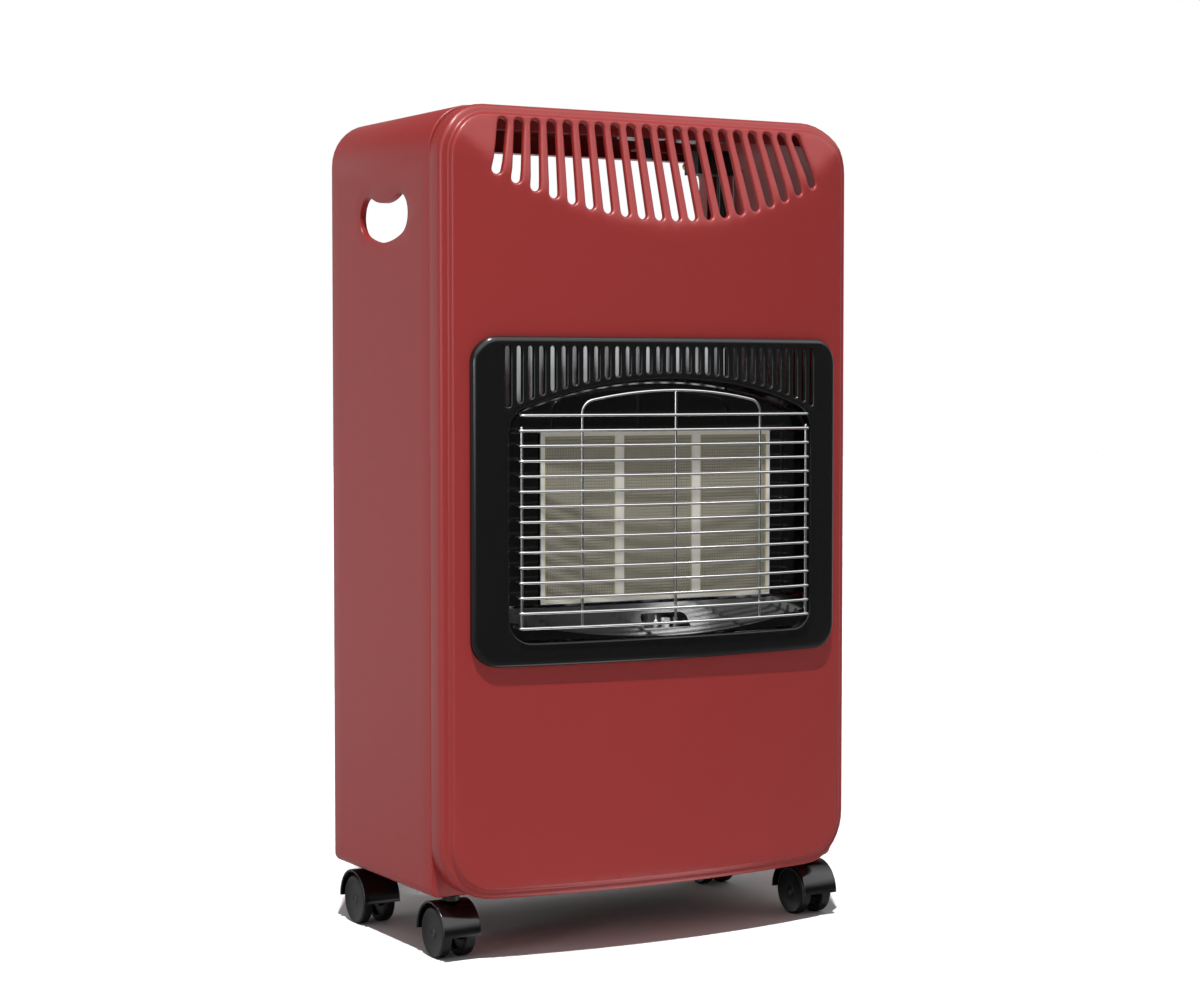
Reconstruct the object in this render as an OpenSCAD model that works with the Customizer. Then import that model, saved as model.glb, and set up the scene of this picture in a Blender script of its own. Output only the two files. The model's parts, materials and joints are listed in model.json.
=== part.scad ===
// Cabinet heater for bottled gas: steel cabinet on four casters, a bowed front panel,
// a three-plaque radiant burner behind a wire guard, and room for the bottle behind it.
// Millimetres. +Z up, the front faces -Y, the origin lies on the floor below the middle.

/* [Cabinet] */
// Width across the side walls
cabinet_w = 420; // [400:1:460]
// Height of the steel cabinet, without the casters
cabinet_h = 685; // [640:1:720]
// Depth of the casing, from the seam with the front panel to the back
casing_d = 205; // [195:1:240]
// Thickness of the sheet steel
sheet_t = 1; // [0.8:0.1:1.2]
// Radius of the upper corners of the casing
casing_top_r = 40; // [30:1:50]
// Radius of the lower corners of the casing
casing_low_r = 8; // [4:1:12]
// Width of the ring flange at the seam
seam_flange_w = 20; // [14:1:24]
// Width of the ring flange at the back
back_flange_w = 20.5; // [16:0.5:24]
// Depth of the return behind the back flange
back_return_d = 16; // [10:1:20]
// Width of the side flanges below the base tray
base_flange_w = 52; // [48:1:60]

/* [Handle holes] */
// Height of the lowest point of a handle hole above the cabinet's bottom
handle_z = 570; // [540:1:580]
// Distance of a handle hole's middle from the back
handle_back = 113; // [95:1:120]
// Radius of the lower edge of a handle hole
handle_low_r = 110; // [100:1:130]
// Radius of the finger dip in its upper edge
handle_dip_r = 63.5; // [58:1:70]
// Radius of the rounded ends
handle_end_r = 18.5; // [15:0.5:20]
// Height of the ends' middles above the lowest point
handle_end_z = 24; // [22:0.5:26]
// Height of the hole at its middle
handle_gap = 35; // [30:1:38]
// Depth of the collar round a handle hole
handle_collar_d = 6; // [4:1:10]

/* [Front panel] */
// Depth of the front panel at its middle
panel_d = 51.6; // [48:0.2:60]
// Plan radius of the bowed face
bow_r = 830; // [800:5:900]
// Radius of the panel's corners
panel_corner_r = 46; // [42:1:50]
// Distance that the panel reaches below the casing
panel_drop = 0; // [0:0.1:3]
// Width of the lower step along the edge
edge_step_w = 9; // [6:0.5:12]
// Height of that step
edge_step_h = 4.5; // [3:0.5:6]
// Depth of the panel at its top edge
hood_d = 20.3; // [18:0.1:24]
// Lean of the top facet
hood_lean = 17.2; // [14:0.2:20]
// Number of vent slots in the top facet
vent_n = 20; // [12:2:22]
// Width of a vent slot
vent_w = 9; // [6:0.5:9.5]
// Spacing of the slots at their upper ends
vent_pitch_top = 15.94; // [15:0.01:16.2]
// Spacing of the slots at their lower ends
vent_pitch_low = 17.05; // [16:0.01:17.4]
// Distance of the slots' upper ends below the panel's top
vent_top_gap = 17; // [15:0.5:22]
// Length of the middle slots between their end centres
vent_mid_len = 75.5; // [60:0.5:80]
// Radius of the arc along the slots' lower ends
vent_arc_r = 385; // [370:5:450]

/* [Burner surround] */
// Width of the surround
surround_w = 374; // [368:1:378]
// Height of the surround
surround_h = 283.8; // [282:0.2:290]
// Height of its lower edge above the cabinet's bottom
surround_z = 202; // [180:1:205]
// Radius of its corners
surround_r = 23; // [20:1:28]
// Distance that it stands proud of the panel
surround_proud = 7; // [5:0.5:9]
// Wall of the surround
surround_wall = 1.6; // [1.2:0.1:2.4]
// Width of the rim that lies on the panel
rim_w = 5; // [4:0.5:7]
// Half width of the burner opening
mouth_half_w = 155.3; // [150:0.1:158]
// Height of the opening's lower edge above the surround's
mouth_z = 20.5; // [18:0.5:24]
// Height of the opening at its middle
mouth_h = 227; // [222:0.5:229]
// Radius of the arch over the opening
arch_r = 415; // [400:5:440]
// Radius where the arch meets the upright sides
arch_corner_r = 25; // [18:1:30]
// Radius of the opening's lower corners
mouth_low_r = 20; // [14:1:24]
// Depth of the collar behind the opening
mouth_collar_d = 10; // [8:0.5:12]
// Number of slots above the arch
slot_n = 32; // [20:2:32]
// Width of such a slot
slot_w = 5; // [4:0.5:6]
// Spacing of the slots
slot_pitch = 10.08; // [9:0.01:10.3]
// Land between the slots and the arch
slot_land = 5.5; // [5:0.5:7]
// Distance of the slots' upper ends below the surround's top
slot_top_gap = 8; // [7:0.5:10]

/* [Guard] */
// Diameter of the guard wires
wire_d = 2.5; // [2:0.1:3]
// Number of level wires
wire_n = 15; // [12:1:15]
// Spacing of the level wires
wire_pitch = 13.04; // [12:0.01:13.2]
// Height of the lowest wire above the opening's lower edge
wire_z = 13; // [12:0.5:16]
// Half length of the level wires
wire_half_l = 148.5; // [146:0.5:150]
// Length of their turned-back ends
wire_hook_d = 9; // [6:0.5:10]
// Place of the middle uprights
upright_mid_x = 91.4; // [80:0.2:100]
// Place of the end uprights
upright_end_x = 146.4; // [140:0.2:146.6]
// Distance of the guard's front from the surround's face
guard_proud = 6.6; // [5.6:0.1:9]
// Distance of the arched wire below the opening's arch
arch_wire_drop = 10; // [8:0.5:14]
// Bend radius at the ends of the arched wire
arch_wire_bend = 12; // [8:1:16]

/* [Burner] */
// Width of the burner frame
burner_w = 237; // [225:1:240]
// Height of the burner frame
burner_h = 150; // [140:1:156]
// Height of the frame's lower edge above the opening's lower edge
burner_z = 31; // [29:0.5:36]
// Distance of the frame behind the panel's face
burner_set = 19.9; // [18:0.1:24]
// Width of the frame's outer border
frame_border = 2.3; // [2:0.1:4]
// Width of the bars between the plaques
frame_bar_w = 5.6; // [4:0.1:8]
// Thickness of the frame
frame_t = 3; // [2:0.5:4]
// Width of the fibre gasket round each plaque
gasket_w = 1.7; // [1.2:0.1:2.5]
// Thickness of a plaque
plaque_t = 13; // [11:0.5:14]
// Depth of the mixing chambers
plenum_d = 26; // [24:1:32]
// Diameter of the mixing tubes
venturi_d = 22; // [18:1:24]
// Wall of chambers and tubes
thin_t = 0.8; // [0.6:0.1:1]
// Diameter of the gas rail
rail_d = 12; // [10:0.5:14]

/* [Controls] */
// Place of the control knob's axis from the middle
knob_x = 97; // [90:1:105]
// Place of the igniter button's axis from the middle
button_x = 34; // [24:1:36]
// Distance of both axes behind the seam
control_back = 48.8; // [46:0.2:60]
// Bore of the two control wells
well_d = 49; // [48.6:0.2:52]
// Depth of the wells below the cabinet's top
well_depth = 12.5; // [12:0.5:16]
// Wall of the wells
well_wall = 1.5; // [1.2:0.1:2]
// Diameter of the knob
knob_d = 42; // [36:1:44]
// Height of the knob
knob_h = 13; // [12:0.5:15]
// Travel of the knob when it is pressed
knob_press = 3; // [2:0.5:4]
// Diameter of the valve spindle
spindle_d = 8; // [6:0.5:9]
// Diameter of the igniter button
button_d = 18; // [14:1:20]
// Travel of the button
button_press = 4; // [3:0.5:5]
// Diameter of the hose nozzle
nozzle_d = 8.4; // [8:0.1:10]
// Length of the plain stretch of the hose nozzle
nozzle_l = 22; // [18:1:30]
// Diameter of the burner's gas pipe
pipe_d = 8; // [6:0.5:10]
// Diameter of the pilot's gas pipe
pilot_pipe_d = 4; // [3:0.5:5]

/* [Casters] */
// Diameter of a caster wheel
wheel_d = 44; // [40:1:46]
// Width of one wheel
wheel_w = 9.5; // [8:0.5:10.5]
// Width over both wheels
caster_w = 32; // [31:0.5:34]
// Outer radius of the hood
hood_r = 28.2; // [27:0.2:29]
// Wall of the hood
hood_wall = 2.4; // [1.8:0.1:3]
// Length of the hood along the axle
hood_w = 36; // [35:0.5:38]
// Distance of the axle behind the swivel axis
trail = 4.5; // [3.5:0.5:6]
// Gap between the floor and the cabinet's bottom
floor_gap = 54.5; // [54:0.5:60]
// Diameter of the collar above the hood
collar_d = 15.5; // [14:0.5:18]
// Diameter of the swivel pin
pin_d = 6; // [5:0.5:6]
// Diameter of the wheel axle
axle_d = 5; // [4:0.5:6]
// Distance of the casters' middle from the side walls
caster_side = 22.5; // [22:0.5:30]
// Distance of the front swivels behind the seam
caster_front = 6.8; // [6:0.2:12]
// Distance of the rear swivels from the back
caster_back = 33.5; // [33:0.5:40]

/* [Fits] */
// Running clearance on a radius, shaft in hole
run_gap = 0.05; // [0.02:0.01:0.08]
// Gap between pieces that only lie beside each other
seat_gap = 0.3; // [0.2:0.05:0.4]

/* [Hidden] */

// Facets of large arcs, of ordinary round pieces and of small ones
bow_fn = 720;
round_fn = 96;
small_fn = 32;
// Cutters reach this far past the face that they open
past = 2;

// Stations along Y, from the guard's front to the back of the casing
overall_d = casing_d + panel_d + surround_proud + guard_proud;
back_y = overall_d / 2;
seam_y = back_y - casing_d;
face_y = seam_y - panel_d;
surround_y = face_y - surround_proud;
guard_y = surround_y - guard_proud;
bow_y = face_y + bow_r;

// Stations along Z
base_z = floor_gap;
top_z = base_z + cabinet_h;
panel_z = base_z - panel_drop;
bezel_z = base_z + surround_z;
bezel_top_z = bezel_z + surround_h;
mouth_low_z = bezel_z + mouth_z;
mouth_top_z = mouth_low_z + mouth_h;
arch_z = mouth_top_z - arch_r;
half_w = cabinet_w / 2;
tray_t = 1.5;
tray_lip = 18;

// Stations of the burner
frame_y = face_y + burner_set;
plenum_y = frame_y + frame_t;
burner_low_z = mouth_low_z + burner_z;
burner_top_z = burner_low_z + burner_h;
window_w = (burner_w - 2 * frame_border - 2 * frame_bar_w) / 3;
window_pitch = window_w + frame_bar_w;
venturi_y = plenum_y + plenum_d / 2;
venturi_drop = 42;
venturi_low_z = burner_low_z - venturi_drop;
injector_l = 12;
injector_d = 9;
air_gap = 4;
rail_z = venturi_low_z - injector_l - rail_d / 2 - air_gap;

// Stations of the controls
control_y = seam_y + control_back;
well_floor_z = top_z - well_depth;
plate_t = 1;
plate_z = well_floor_z - well_wall - plate_t;
rim_t = 1.5;
rim_over = 5;
knob_z = well_floor_z + knob_press + 2 * seat_gap;
button_z = well_floor_z + button_press + 2 * seat_gap;
button_h = 11;
valve_size = [44, 24, 22];
valve_off = 9;
valve_neck_h = 9;
valve_top_z = plate_z - valve_neck_h;
valve_low_z = valve_top_z - valve_size[2];
pipe_side = 22;
pipe_x = knob_x + pipe_side;
nozzle_x = knob_x + 7;
nozzle_y = control_y + valve_size[1] / 2;
nozzle_z = valve_low_z + valve_size[2] / 2;
lane_step = 7;

// Stations of the casters
axle_z = wheel_d / 2;
hood_top_z = axle_z + hood_r;
nut_w = 10;
nut_h = 5;
nut_r = nut_w / sqrt(3);
caster_x = half_w - caster_side;
caster_front_y = seam_y + caster_front;
caster_rear_y = back_y - caster_back;
function stud_r() = pin_d / 2;
function caster_places() = [[-caster_x, caster_front_y], [caster_x, caster_front_y],
                            [-caster_x, caster_rear_y], [caster_x, caster_rear_y]];

// ---------------------------------------------------------------- helpers

// Block between two values along each axis
module span(x, y, z) {
    translate([x[0], y[0], z[0]]) cube([x[1] - x[0], y[1] - y[0], z[1] - z[0]]);
}

// Outline whose lower edge lies on the first axis, with two sizes of corner
module rounded_outline(w, h, r_low, r_top) {
    translate([-w / 2, r_low]) square([w, h - r_low - r_top]);
    translate([-w / 2 + r_low, 0]) square([w - 2 * r_low, r_low + r_low]);
    translate([-w / 2 + r_top, h - 2 * r_top]) square([w - 2 * r_top, 2 * r_top]);
    for (side = [-1, 1]) {
        translate([side * (w / 2 - r_low), r_low]) circle(r = r_low, $fn = round_fn);
        translate([side * (w / 2 - r_top), h - r_top]) circle(r = r_top, $fn = round_fn);
    }
}

// A drawing of the front view, given its depth from y0 back to y1
module along_y(y0, y1) {
    translate([0, y1, 0]) rotate([90, 0, 0]) linear_extrude(y1 - y0) children();
}

// Round bar along X, Y or Z from a point
module bar_x(d, l) { rotate([0, 90, 0]) cylinder(d = d, h = l, $fn = small_fn); }
module bar_y(d, l) { rotate([-90, 0, 0]) rotate([0, 0, 45]) cylinder(d = d, h = l, $fn = small_fn); }

// Everything behind the bowed face that lies set_back behind the panel's own
module behind_bow(set_back, z0, z1) {
    translate([0, bow_y, z0]) cylinder(r = bow_r - set_back, h = z1 - z0, $fn = bow_fn);
}

// Pipe along a list of points, with a ball at each bend
module pipe_run(points, d) {
    for (i = [0:len(points) - 2]) {
        step = points[i + 1] - points[i];
        length = norm(step);
        translate(points[i])
            rotate([0, acos(step[2] / length), atan2(step[1], step[0])])
            cylinder(d = d, h = length, $fn = small_fn);
    }
    for (i = [1:len(points) - 2]) translate(points[i]) sphere(d = d, $fn = small_fn);
}

// ---------------------------------------------------------------- cabinet

module casing_outline(inset) {
    translate([0, base_z + inset])
        rounded_outline(cabinet_w - 2 * inset, cabinet_h - 2 * inset,
                        max(casing_low_r - inset, 2), casing_top_r - inset);
}

// Shape of a handle hole through the side walls, grown by g all round
module handle_shape(x0, x1, g) {
    low_z = base_z + handle_z;
    arc_z = low_z + handle_low_r;
    end_z = low_z + handle_end_z;
    reach = handle_low_r - handle_end_r;
    end_y = sqrt(reach * reach - pow(arc_z - end_z, 2));
    meet_z = arc_z - (arc_z - end_z) * handle_low_r / reach - seat_gap;
    mid_y = back_y - handle_back;
    difference() {
        union() {
            intersection() {
                translate([x0, mid_y, arc_z]) rotate([0, 90, 0])
                    cylinder(r = handle_low_r + g, h = x1 - x0, $fn = 2 * round_fn);
                span([x0, x1], [mid_y - cabinet_w, mid_y + cabinet_w], [low_z - past - g, meet_z]);
            }
            span([x0, x1], [mid_y - end_y, mid_y + end_y], [meet_z - seat_gap, end_z + handle_end_r + g]);
            for (side = [-1, 1]) translate([x0, mid_y + side * end_y, end_z]) rotate([0, 90, 0])
                cylinder(r = handle_end_r + g, h = x1 - x0, $fn = round_fn);
        }
        translate([x0 - past, mid_y, low_z + handle_gap + handle_dip_r]) rotate([0, 90, 0])
            cylinder(r = handle_dip_r - g, h = x1 - x0 + 2 * past, $fn = 2 * round_fn);
    }
}

module cabinet_casing() {
    inner_x = half_w - handle_collar_d;
    color([0.59, 0.21, 0.20]) difference() {
        union() {
            difference() {
                along_y(seam_y, back_y) casing_outline(0);
                along_y(seam_y + sheet_t, back_y - sheet_t) casing_outline(sheet_t);
                along_y(seam_y - past, seam_y + past) casing_outline(seam_flange_w);
                along_y(back_y - past, back_y + past) casing_outline(back_flange_w);
            }
            difference() {
                along_y(back_y - back_return_d, back_y) casing_outline(back_flange_w - sheet_t);
                along_y(back_y - back_return_d - past, back_y + past) casing_outline(back_flange_w);
            }
            handle_shape(inner_x, half_w, sheet_t);
            mirror([1, 0, 0]) handle_shape(inner_x, half_w, sheet_t);
        }
        handle_shape(inner_x - past, half_w + past, 0);
        mirror([1, 0, 0]) handle_shape(inner_x - past, half_w + past, 0);
        for (x = [knob_x, button_x]) translate([x, control_y, top_z - casing_top_r])
            cylinder(d = well_d + 2 * (well_wall + seat_gap), h = casing_top_r + past, $fn = round_fn);
        span([base_flange_w - half_w, half_w - base_flange_w],
             [seam_y + seam_flange_w, back_y - back_flange_w], [base_z - past, base_z + past]);
        for (place = caster_places()) translate([place[0], place[1], base_z - past])
            cylinder(r = stud_r() + seat_gap, h = 2 * past, $fn = small_fn);
        for (side = [-1, 1], z = screw_heights()) translate([side * screw_x(), seam_y - past, z])
            bar_y(screw_d + 2 * seat_gap, 2 * past);
    }
}

// Pan that carries the bottle and spreads the casters' load
module base_tray() {
    x1 = half_w - sheet_t - seat_gap - casing_low_r;
    y0 = seam_y + sheet_t + seat_gap;
    y1 = back_y - back_return_d - seat_gap;
    z0 = base_z + sheet_t;
    color([0.13, 0.13, 0.13]) difference() {
        span([-x1, x1], [y0, y1], [z0, z0 + tray_lip]);
        span([tray_t - x1, x1 - tray_t], [y0 + tray_t, y1 - tray_t], [z0 + tray_t, z0 + tray_lip + past]);
        for (place = caster_places()) translate([place[0], place[1], z0 - past])
            cylinder(r = stud_r() + seat_gap, h = 3 * past, $fn = small_fn);
        for (place = caster_places()) translate([place[0], place[1], z0 + tray_t])
            cylinder(r = nut_r + seat_gap, h = tray_lip + past, $fn = small_fn);
    }
}

// ---------------------------------------------------------------- front panel

screw_in = 11;
screw_margin_h = 90;
function screw_x() = half_w - screw_in;
function screw_heights() = [base_z + screw_margin_h, base_z + cabinet_h / 2, top_z - screw_margin_h];
screw_d = 4;
screw_head_d = 8;
screw_head_h = 2.6;
screw_l = 8;
boss_w = 9;

// Everything behind the leaning top facet
module behind_hood(set_back) {
    translate([0, seam_y - hood_d + set_back / cos(hood_lean), top_z]) rotate([-hood_lean, 0, 0])
        span([-cabinet_w, cabinet_w], [0, cabinet_h], [-2 * cabinet_h, cabinet_h]);
}

module panel_outline(inset) {
    translate([0, panel_z + inset])
        rounded_outline(cabinet_w - 2 * inset, top_z - panel_z - 2 * inset,
                        panel_corner_r - inset, panel_corner_r - inset);
}

module panel_level(inset, set_back, y1) {
    intersection() {
        along_y(face_y - past, y1) panel_outline(inset);
        behind_bow(set_back, panel_z - past, top_z + past);
        behind_hood(set_back);
    }
}

// The pressed form, skin deeper and smaller all round than its outside
module panel_form(skin, y1) {
    panel_level(skin, edge_step_h + skin, y1);
    panel_level(edge_step_w + skin, skin, y1);
}

module vent_slot(i) {
    place = i - (vent_n - 1) / 2;
    high = [place * vent_pitch_top, top_z - vent_top_gap];
    low_x = place * vent_pitch_low;
    low = [low_x, high[1] - vent_mid_len + vent_arc_r - sqrt(vent_arc_r * vent_arc_r - low_x * low_x)];
    run = high - low;
    translate([low[0], seam_y, low[1]]) rotate([0, atan2(run[0], run[1]), 0]) {
        span([-vent_w / 2, vent_w / 2], [face_y - seam_y - past, 0], [0, norm(run)]);
        for (z = [0, norm(run)]) translate([0, face_y - seam_y - past, z])
            bar_y(vent_w, seam_y - face_y + past);
    }
}

module front_panel() {
    cut_w = surround_w - 2 * rim_w;
    color([0.60, 0.21, 0.20]) difference() {
        union() {
            difference() {
                panel_form(0, seam_y);
                panel_form(sheet_t, seam_y + past);
            }
            for (flip = [0, 1], z = screw_heights()) mirror([flip, 0, 0])
                span([screw_x() - boss_w / 2, half_w - sheet_t / 2],
                     [seam_y - screw_l, seam_y], [z - boss_w / 2, z + boss_w / 2]);
        }
        along_y(face_y - past, seam_y) translate([0, bezel_z + rim_w])
            rounded_outline(cut_w, surround_h - 2 * rim_w, surround_r - rim_w, surround_r - rim_w);
        for (i = [0:vent_n - 1]) vent_slot(i);
        for (side = [-1, 1], z = screw_heights()) translate([side * screw_x(), seam_y - screw_l - past, z])
            bar_y(screw_d + seat_gap, screw_l + 2 * past);
    }
}

module panel_screws() {
    color("silver") for (side = [-1, 1], z = screw_heights())
        translate([side * screw_x(), seam_y + sheet_t, z]) {
            translate([0, -screw_l, 0]) bar_y(screw_d, screw_l);
            bar_y(screw_head_d, screw_head_h);
        }
}

// Galvanised wall between the burner and the bottle, stepped back on one side for the pipes
module heat_shield() {
    x1 = half_w - sheet_t - seat_gap;
    behind_seam = 24;
    behind_valve = 26;
    beside_knob = 8;
    over_bezel = 46;
    lip = 14;
    y_main = seam_y + behind_seam;
    y_step = control_y + behind_valve;
    x_step = knob_x + beside_knob;
    z0 = base_z + sheet_t + tray_t + seat_gap;
    z1 = bezel_top_z + over_bezel;
    low_x1 = x1 - casing_low_r;
    color([0.68, 0.69, 0.70]) difference() {
        union() {
            span([-x1, x_step], [y_main, y_main + thin_t], [z0, z1]);
            span([x_step - thin_t, x_step], [y_main, y_step + thin_t], [z0, z1]);
            span([x_step - thin_t, x1], [y_step, y_step + thin_t], [z0, z1]);
            span([-x1, -x1 + thin_t], [y_main, y_main + lip], [z0, z1]);
            span([x1 - thin_t, x1], [y_step, y_step + lip], [z0, z1]);
        }
        for (side = [-1, 1]) span(side < 0 ? [-x1 - past, past - low_x1] : [low_x1 - past, x1 + past],
            [seam_y, back_y], [z0 - past, base_z + sheet_t + tray_lip + seat_gap]);
    }
}

// ---------------------------------------------------------------- burner surround

// The arched opening in the front view, grown by g all round
// The corner circles reach this far past the arch, so that the two outlines cross
lobe_over = 0.05;
module mouth_outline(g) {
    corner_x = mouth_half_w - arch_corner_r;
    reach = arch_r - arch_corner_r;
    rise = sqrt(reach * reach - corner_x * corner_x);
    meet_x = corner_x * (arch_r + g) / reach;
    low_h = mouth_low_r + g;
    intersection() {
        translate([0, arch_z]) circle(r = arch_r + g, $fn = bow_fn);
        translate([-meet_x, arch_z + rise]) square([2 * meet_x, arch_r + g]);
    }
    for (side = [-1, 1]) {
        translate([side * corner_x, arch_z + rise])
            circle(r = arch_corner_r + g + lobe_over, $fn = round_fn);
        translate([side * (mouth_half_w - mouth_low_r), mouth_low_z + mouth_low_r])
            circle(r = low_h, $fn = round_fn);
    }
    translate([-mouth_half_w - g, mouth_low_z + mouth_low_r])
        square([2 * (mouth_half_w + g), arch_z + rise - mouth_low_z - mouth_low_r]);
    translate([mouth_low_r - mouth_half_w, mouth_low_z - g])
        square([2 * (mouth_half_w - mouth_low_r), low_h + mouth_low_r]);
}

module surround_form(skin) {
    intersection() {
        along_y(surround_y - past, seam_y) translate([0, bezel_z + skin])
            rounded_outline(surround_w - 2 * skin, surround_h - 2 * skin,
                            surround_r - skin, surround_r - skin);
        behind_bow(skin - surround_proud, bezel_z - past, bezel_top_z + past);
    }
}

module surround_slot(i) {
    x = (i - (slot_n - 1) / 2) * slot_pitch;
    r = arch_r + slot_land + slot_w / 2;
    low = arch_z + sqrt(r * r - x * x);
    high = bezel_top_z - slot_top_gap - slot_w / 2;
    span([x - slot_w / 2, x + slot_w / 2], [surround_y - past, face_y + bow_r / 10], [low, high]);
    for (z = [low, high]) translate([x, surround_y - past, z])
        bar_y(slot_w, face_y + bow_r / 10 - surround_y + past);
}

module burner_surround() {
    color([0.12, 0.12, 0.12]) difference() {
        surround_form(0);
        behind_bow(mouth_collar_d - surround_proud, bezel_z - past, bezel_top_z + past);
        // the hollow behind the face, all but the collar round the opening
        difference() {
            union() {
                surround_form(surround_wall);
                behind_bow(-seat_gap / 2, bezel_z - past, bezel_top_z + past);
            }
            along_y(surround_y - past, seam_y + past) mouth_outline(surround_wall);
        }
        along_y(surround_y - past, seam_y) mouth_outline(0);
        for (i = [0:slot_n - 1]) surround_slot(i);
    }
}

// ---------------------------------------------------------------- guard

// Radius in plan of the level wires' axes, and of the uprights spot-welded behind them
weld_gap = 0.02;
function level_r() = bow_y - guard_y - wire_d / 2;
function upright_r() = level_r() - wire_d - weld_gap;
function bow_at(r, x) = bow_y - sqrt(r * r - x * x);
function wire_at(i) = mouth_low_z + wire_z + i * wire_pitch;
// Bend at both ends of a level wire
end_bend_r = 3;
// The top level wire ends this much nearer the middle, clear of the arch's corner
top_wire_short = 1;

module level_wire(z, half_l) {
    reach = level_r() - end_bend_r;
    half_angle = asin((half_l - end_bend_r) / reach);
    translate([0, bow_y, z]) rotate([0, 0, 270 - half_angle])
        rotate_extrude(angle = 2 * half_angle, $fn = bow_fn)
        translate([level_r(), 0]) circle(d = wire_d, $fn = small_fn);
    for (flip = [0, 1]) mirror([flip, 0, 0])
        translate([half_l - end_bend_r, bow_at(reach, half_l - end_bend_r), z]) {
            rotate([0, 0, half_angle - 90]) rotate_extrude(angle = 90 - half_angle, $fn = round_fn)
                translate([end_bend_r, 0]) circle(d = wire_d, $fn = small_fn);
            translate([end_bend_r, 0, 0]) bar_y(wire_d, wire_hook_d - end_bend_r);
        }
}

module upright(x, low, high) {
    translate([x, bow_at(upright_r(), x), low]) cylinder(d = wire_d, h = high - low, $fn = small_fn);
}

module guard_grille() {
    over = wire_d;
    color("silver") {
        for (i = [0:wire_n - 1])
            level_wire(wire_at(i), wire_half_l - (i == wire_n - 1 ? top_wire_short : 0));
        for (side = [-1, 1]) upright(side * upright_end_x, wire_at(0), wire_at(wire_n - 2) + over);
        upright(0, wire_at(0), mouth_top_z - arch_wire_drop - wire_d / 2 - weld_gap);
    }
}

// One bent wire: both middle uprights and the arch between them
module guard_arch_wire() {
    r = arch_r - arch_wire_drop;
    reach = r - arch_wire_bend;
    corner_x = upright_mid_x - arch_wire_bend;
    corner = [corner_x, arch_z + sqrt(reach * reach - corner_x * corner_x)];
    lean = atan2(corner[0], corner[1] - arch_z);
    half = concat(
        [for (z = [wire_at(0), (wire_at(0) + corner[1]) / 2]) [upright_mid_x, z]],
        [for (a = [90:-(90 - lean) / 6:lean + 0.01]) corner + arch_wire_bend * [sin(a), cos(a)]],
        [for (a = [lean:-lean / 8:lean / 16]) [r * sin(a), arch_z + r * cos(a)]]);
    full = concat([for (p = half) [-p[0], p[1]]], [[0, arch_z + r]],
                  [for (i = [len(half) - 1:-1:0]) half[i]]);
    path = [for (p = full) [p[0], bow_at(upright_r() - 2 * weld_gap, p[0]), p[1]]];
    color("silver") swept_wire(path, wire_d, 10);
}

// Round wire swept along points that lie near the XZ plane
module swept_wire(path, d, sides) {
    last = len(path) - 1;
    function way(i) = let (v = path[min(i + 1, last)] - path[max(i - 1, 0)]) v / norm(v);
    function ring(i) =
        let (t = way(i), b0 = [0, 1, 0] - t * (t * [0, 1, 0]), b = b0 / norm(b0), n = cross(b, t))
        [for (k = [0:sides - 1]) path[i] + d / 2 * (n * cos(k * 360 / sides) + b * sin(k * 360 / sides))];
    points = [for (i = [0:last]) each ring(i)];
    faces = concat([[for (k = [0:sides - 1]) k]],
        [for (i = [0:last - 1], k = [0:sides - 1]) let (a = i * sides + k, b = i * sides + (k + 1) % sides)
            [a, a + sides, b + sides, b]],
        [[for (k = [sides - 1:-1:0]) last * sides + k]]);
    polyhedron(points = points, faces = faces);
}

// ---------------------------------------------------------------- reflectors

// Back edge of the surround's collar at a place across the front
function collar_y(x) = bow_at(bow_r + surround_proud - mouth_collar_d, x);
reflector_t = 0.8;

// Upright side sheet between the collar and the burner frame
module reflector_side(side) {
    inner_lip = 2;
    collar_lap = 2;
    x0 = burner_w / 2 + seat_gap;
    x1 = mouth_half_w - 2 * seat_gap;
    y1 = frame_y + frame_t;
    y0 = y1 - inner_lip;
    z0 = burner_low_z;
    z1 = arch_z + sqrt(pow(arch_r - arch_corner_r, 2) - pow(mouth_half_w - arch_corner_r, 2));
    color([0.10, 0.10, 0.10]) mirror([side < 0 ? 1 : 0, 0, 0]) {
        span([x0, x1], [y1 - reflector_t, y1], [z0, z1]);
        span([x0, x0 + reflector_t], [y0, y1], [z0, z1]);
        span([x1 - reflector_t, x1], [collar_y(x1) - collar_lap, y1], [z0, z1]);
    }
}
module reflector_left() { reflector_side(-1); }
module reflector_right() { reflector_side(1); }

// Arched hood over the plaques: a back sheet and a ceiling under the arch
module reflector_top() {
    y1 = frame_y + frame_t;
    ceiling_d = 6;
    inset = 4;
    notch_w = 3;
    notch_up = 20;
    y0 = frame_y - ceiling_d;
    z0 = burner_top_z + seat_gap;
    color([0.10, 0.10, 0.10]) difference() {
        intersection() {
            along_y(y0, y1) mouth_outline(-inset);
            span([-mouth_half_w, mouth_half_w], [y0, y1], [z0, mouth_top_z]);
        }
        along_y(y0 - past, y1 - reflector_t) difference() {
            mouth_outline(-inset - reflector_t);
            translate([-burner_w / 2 - past, burner_top_z])
                square([burner_w + 2 * past, seat_gap + reflector_t + past]);
        }
        for (x = [-upright_mid_x, 0, upright_mid_x])
            span([x - notch_w / 2, x + notch_w / 2], [y0 - past, y0 + notch_w],
                 [burner_top_z + notch_up, mouth_top_z]);
    }
}

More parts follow.
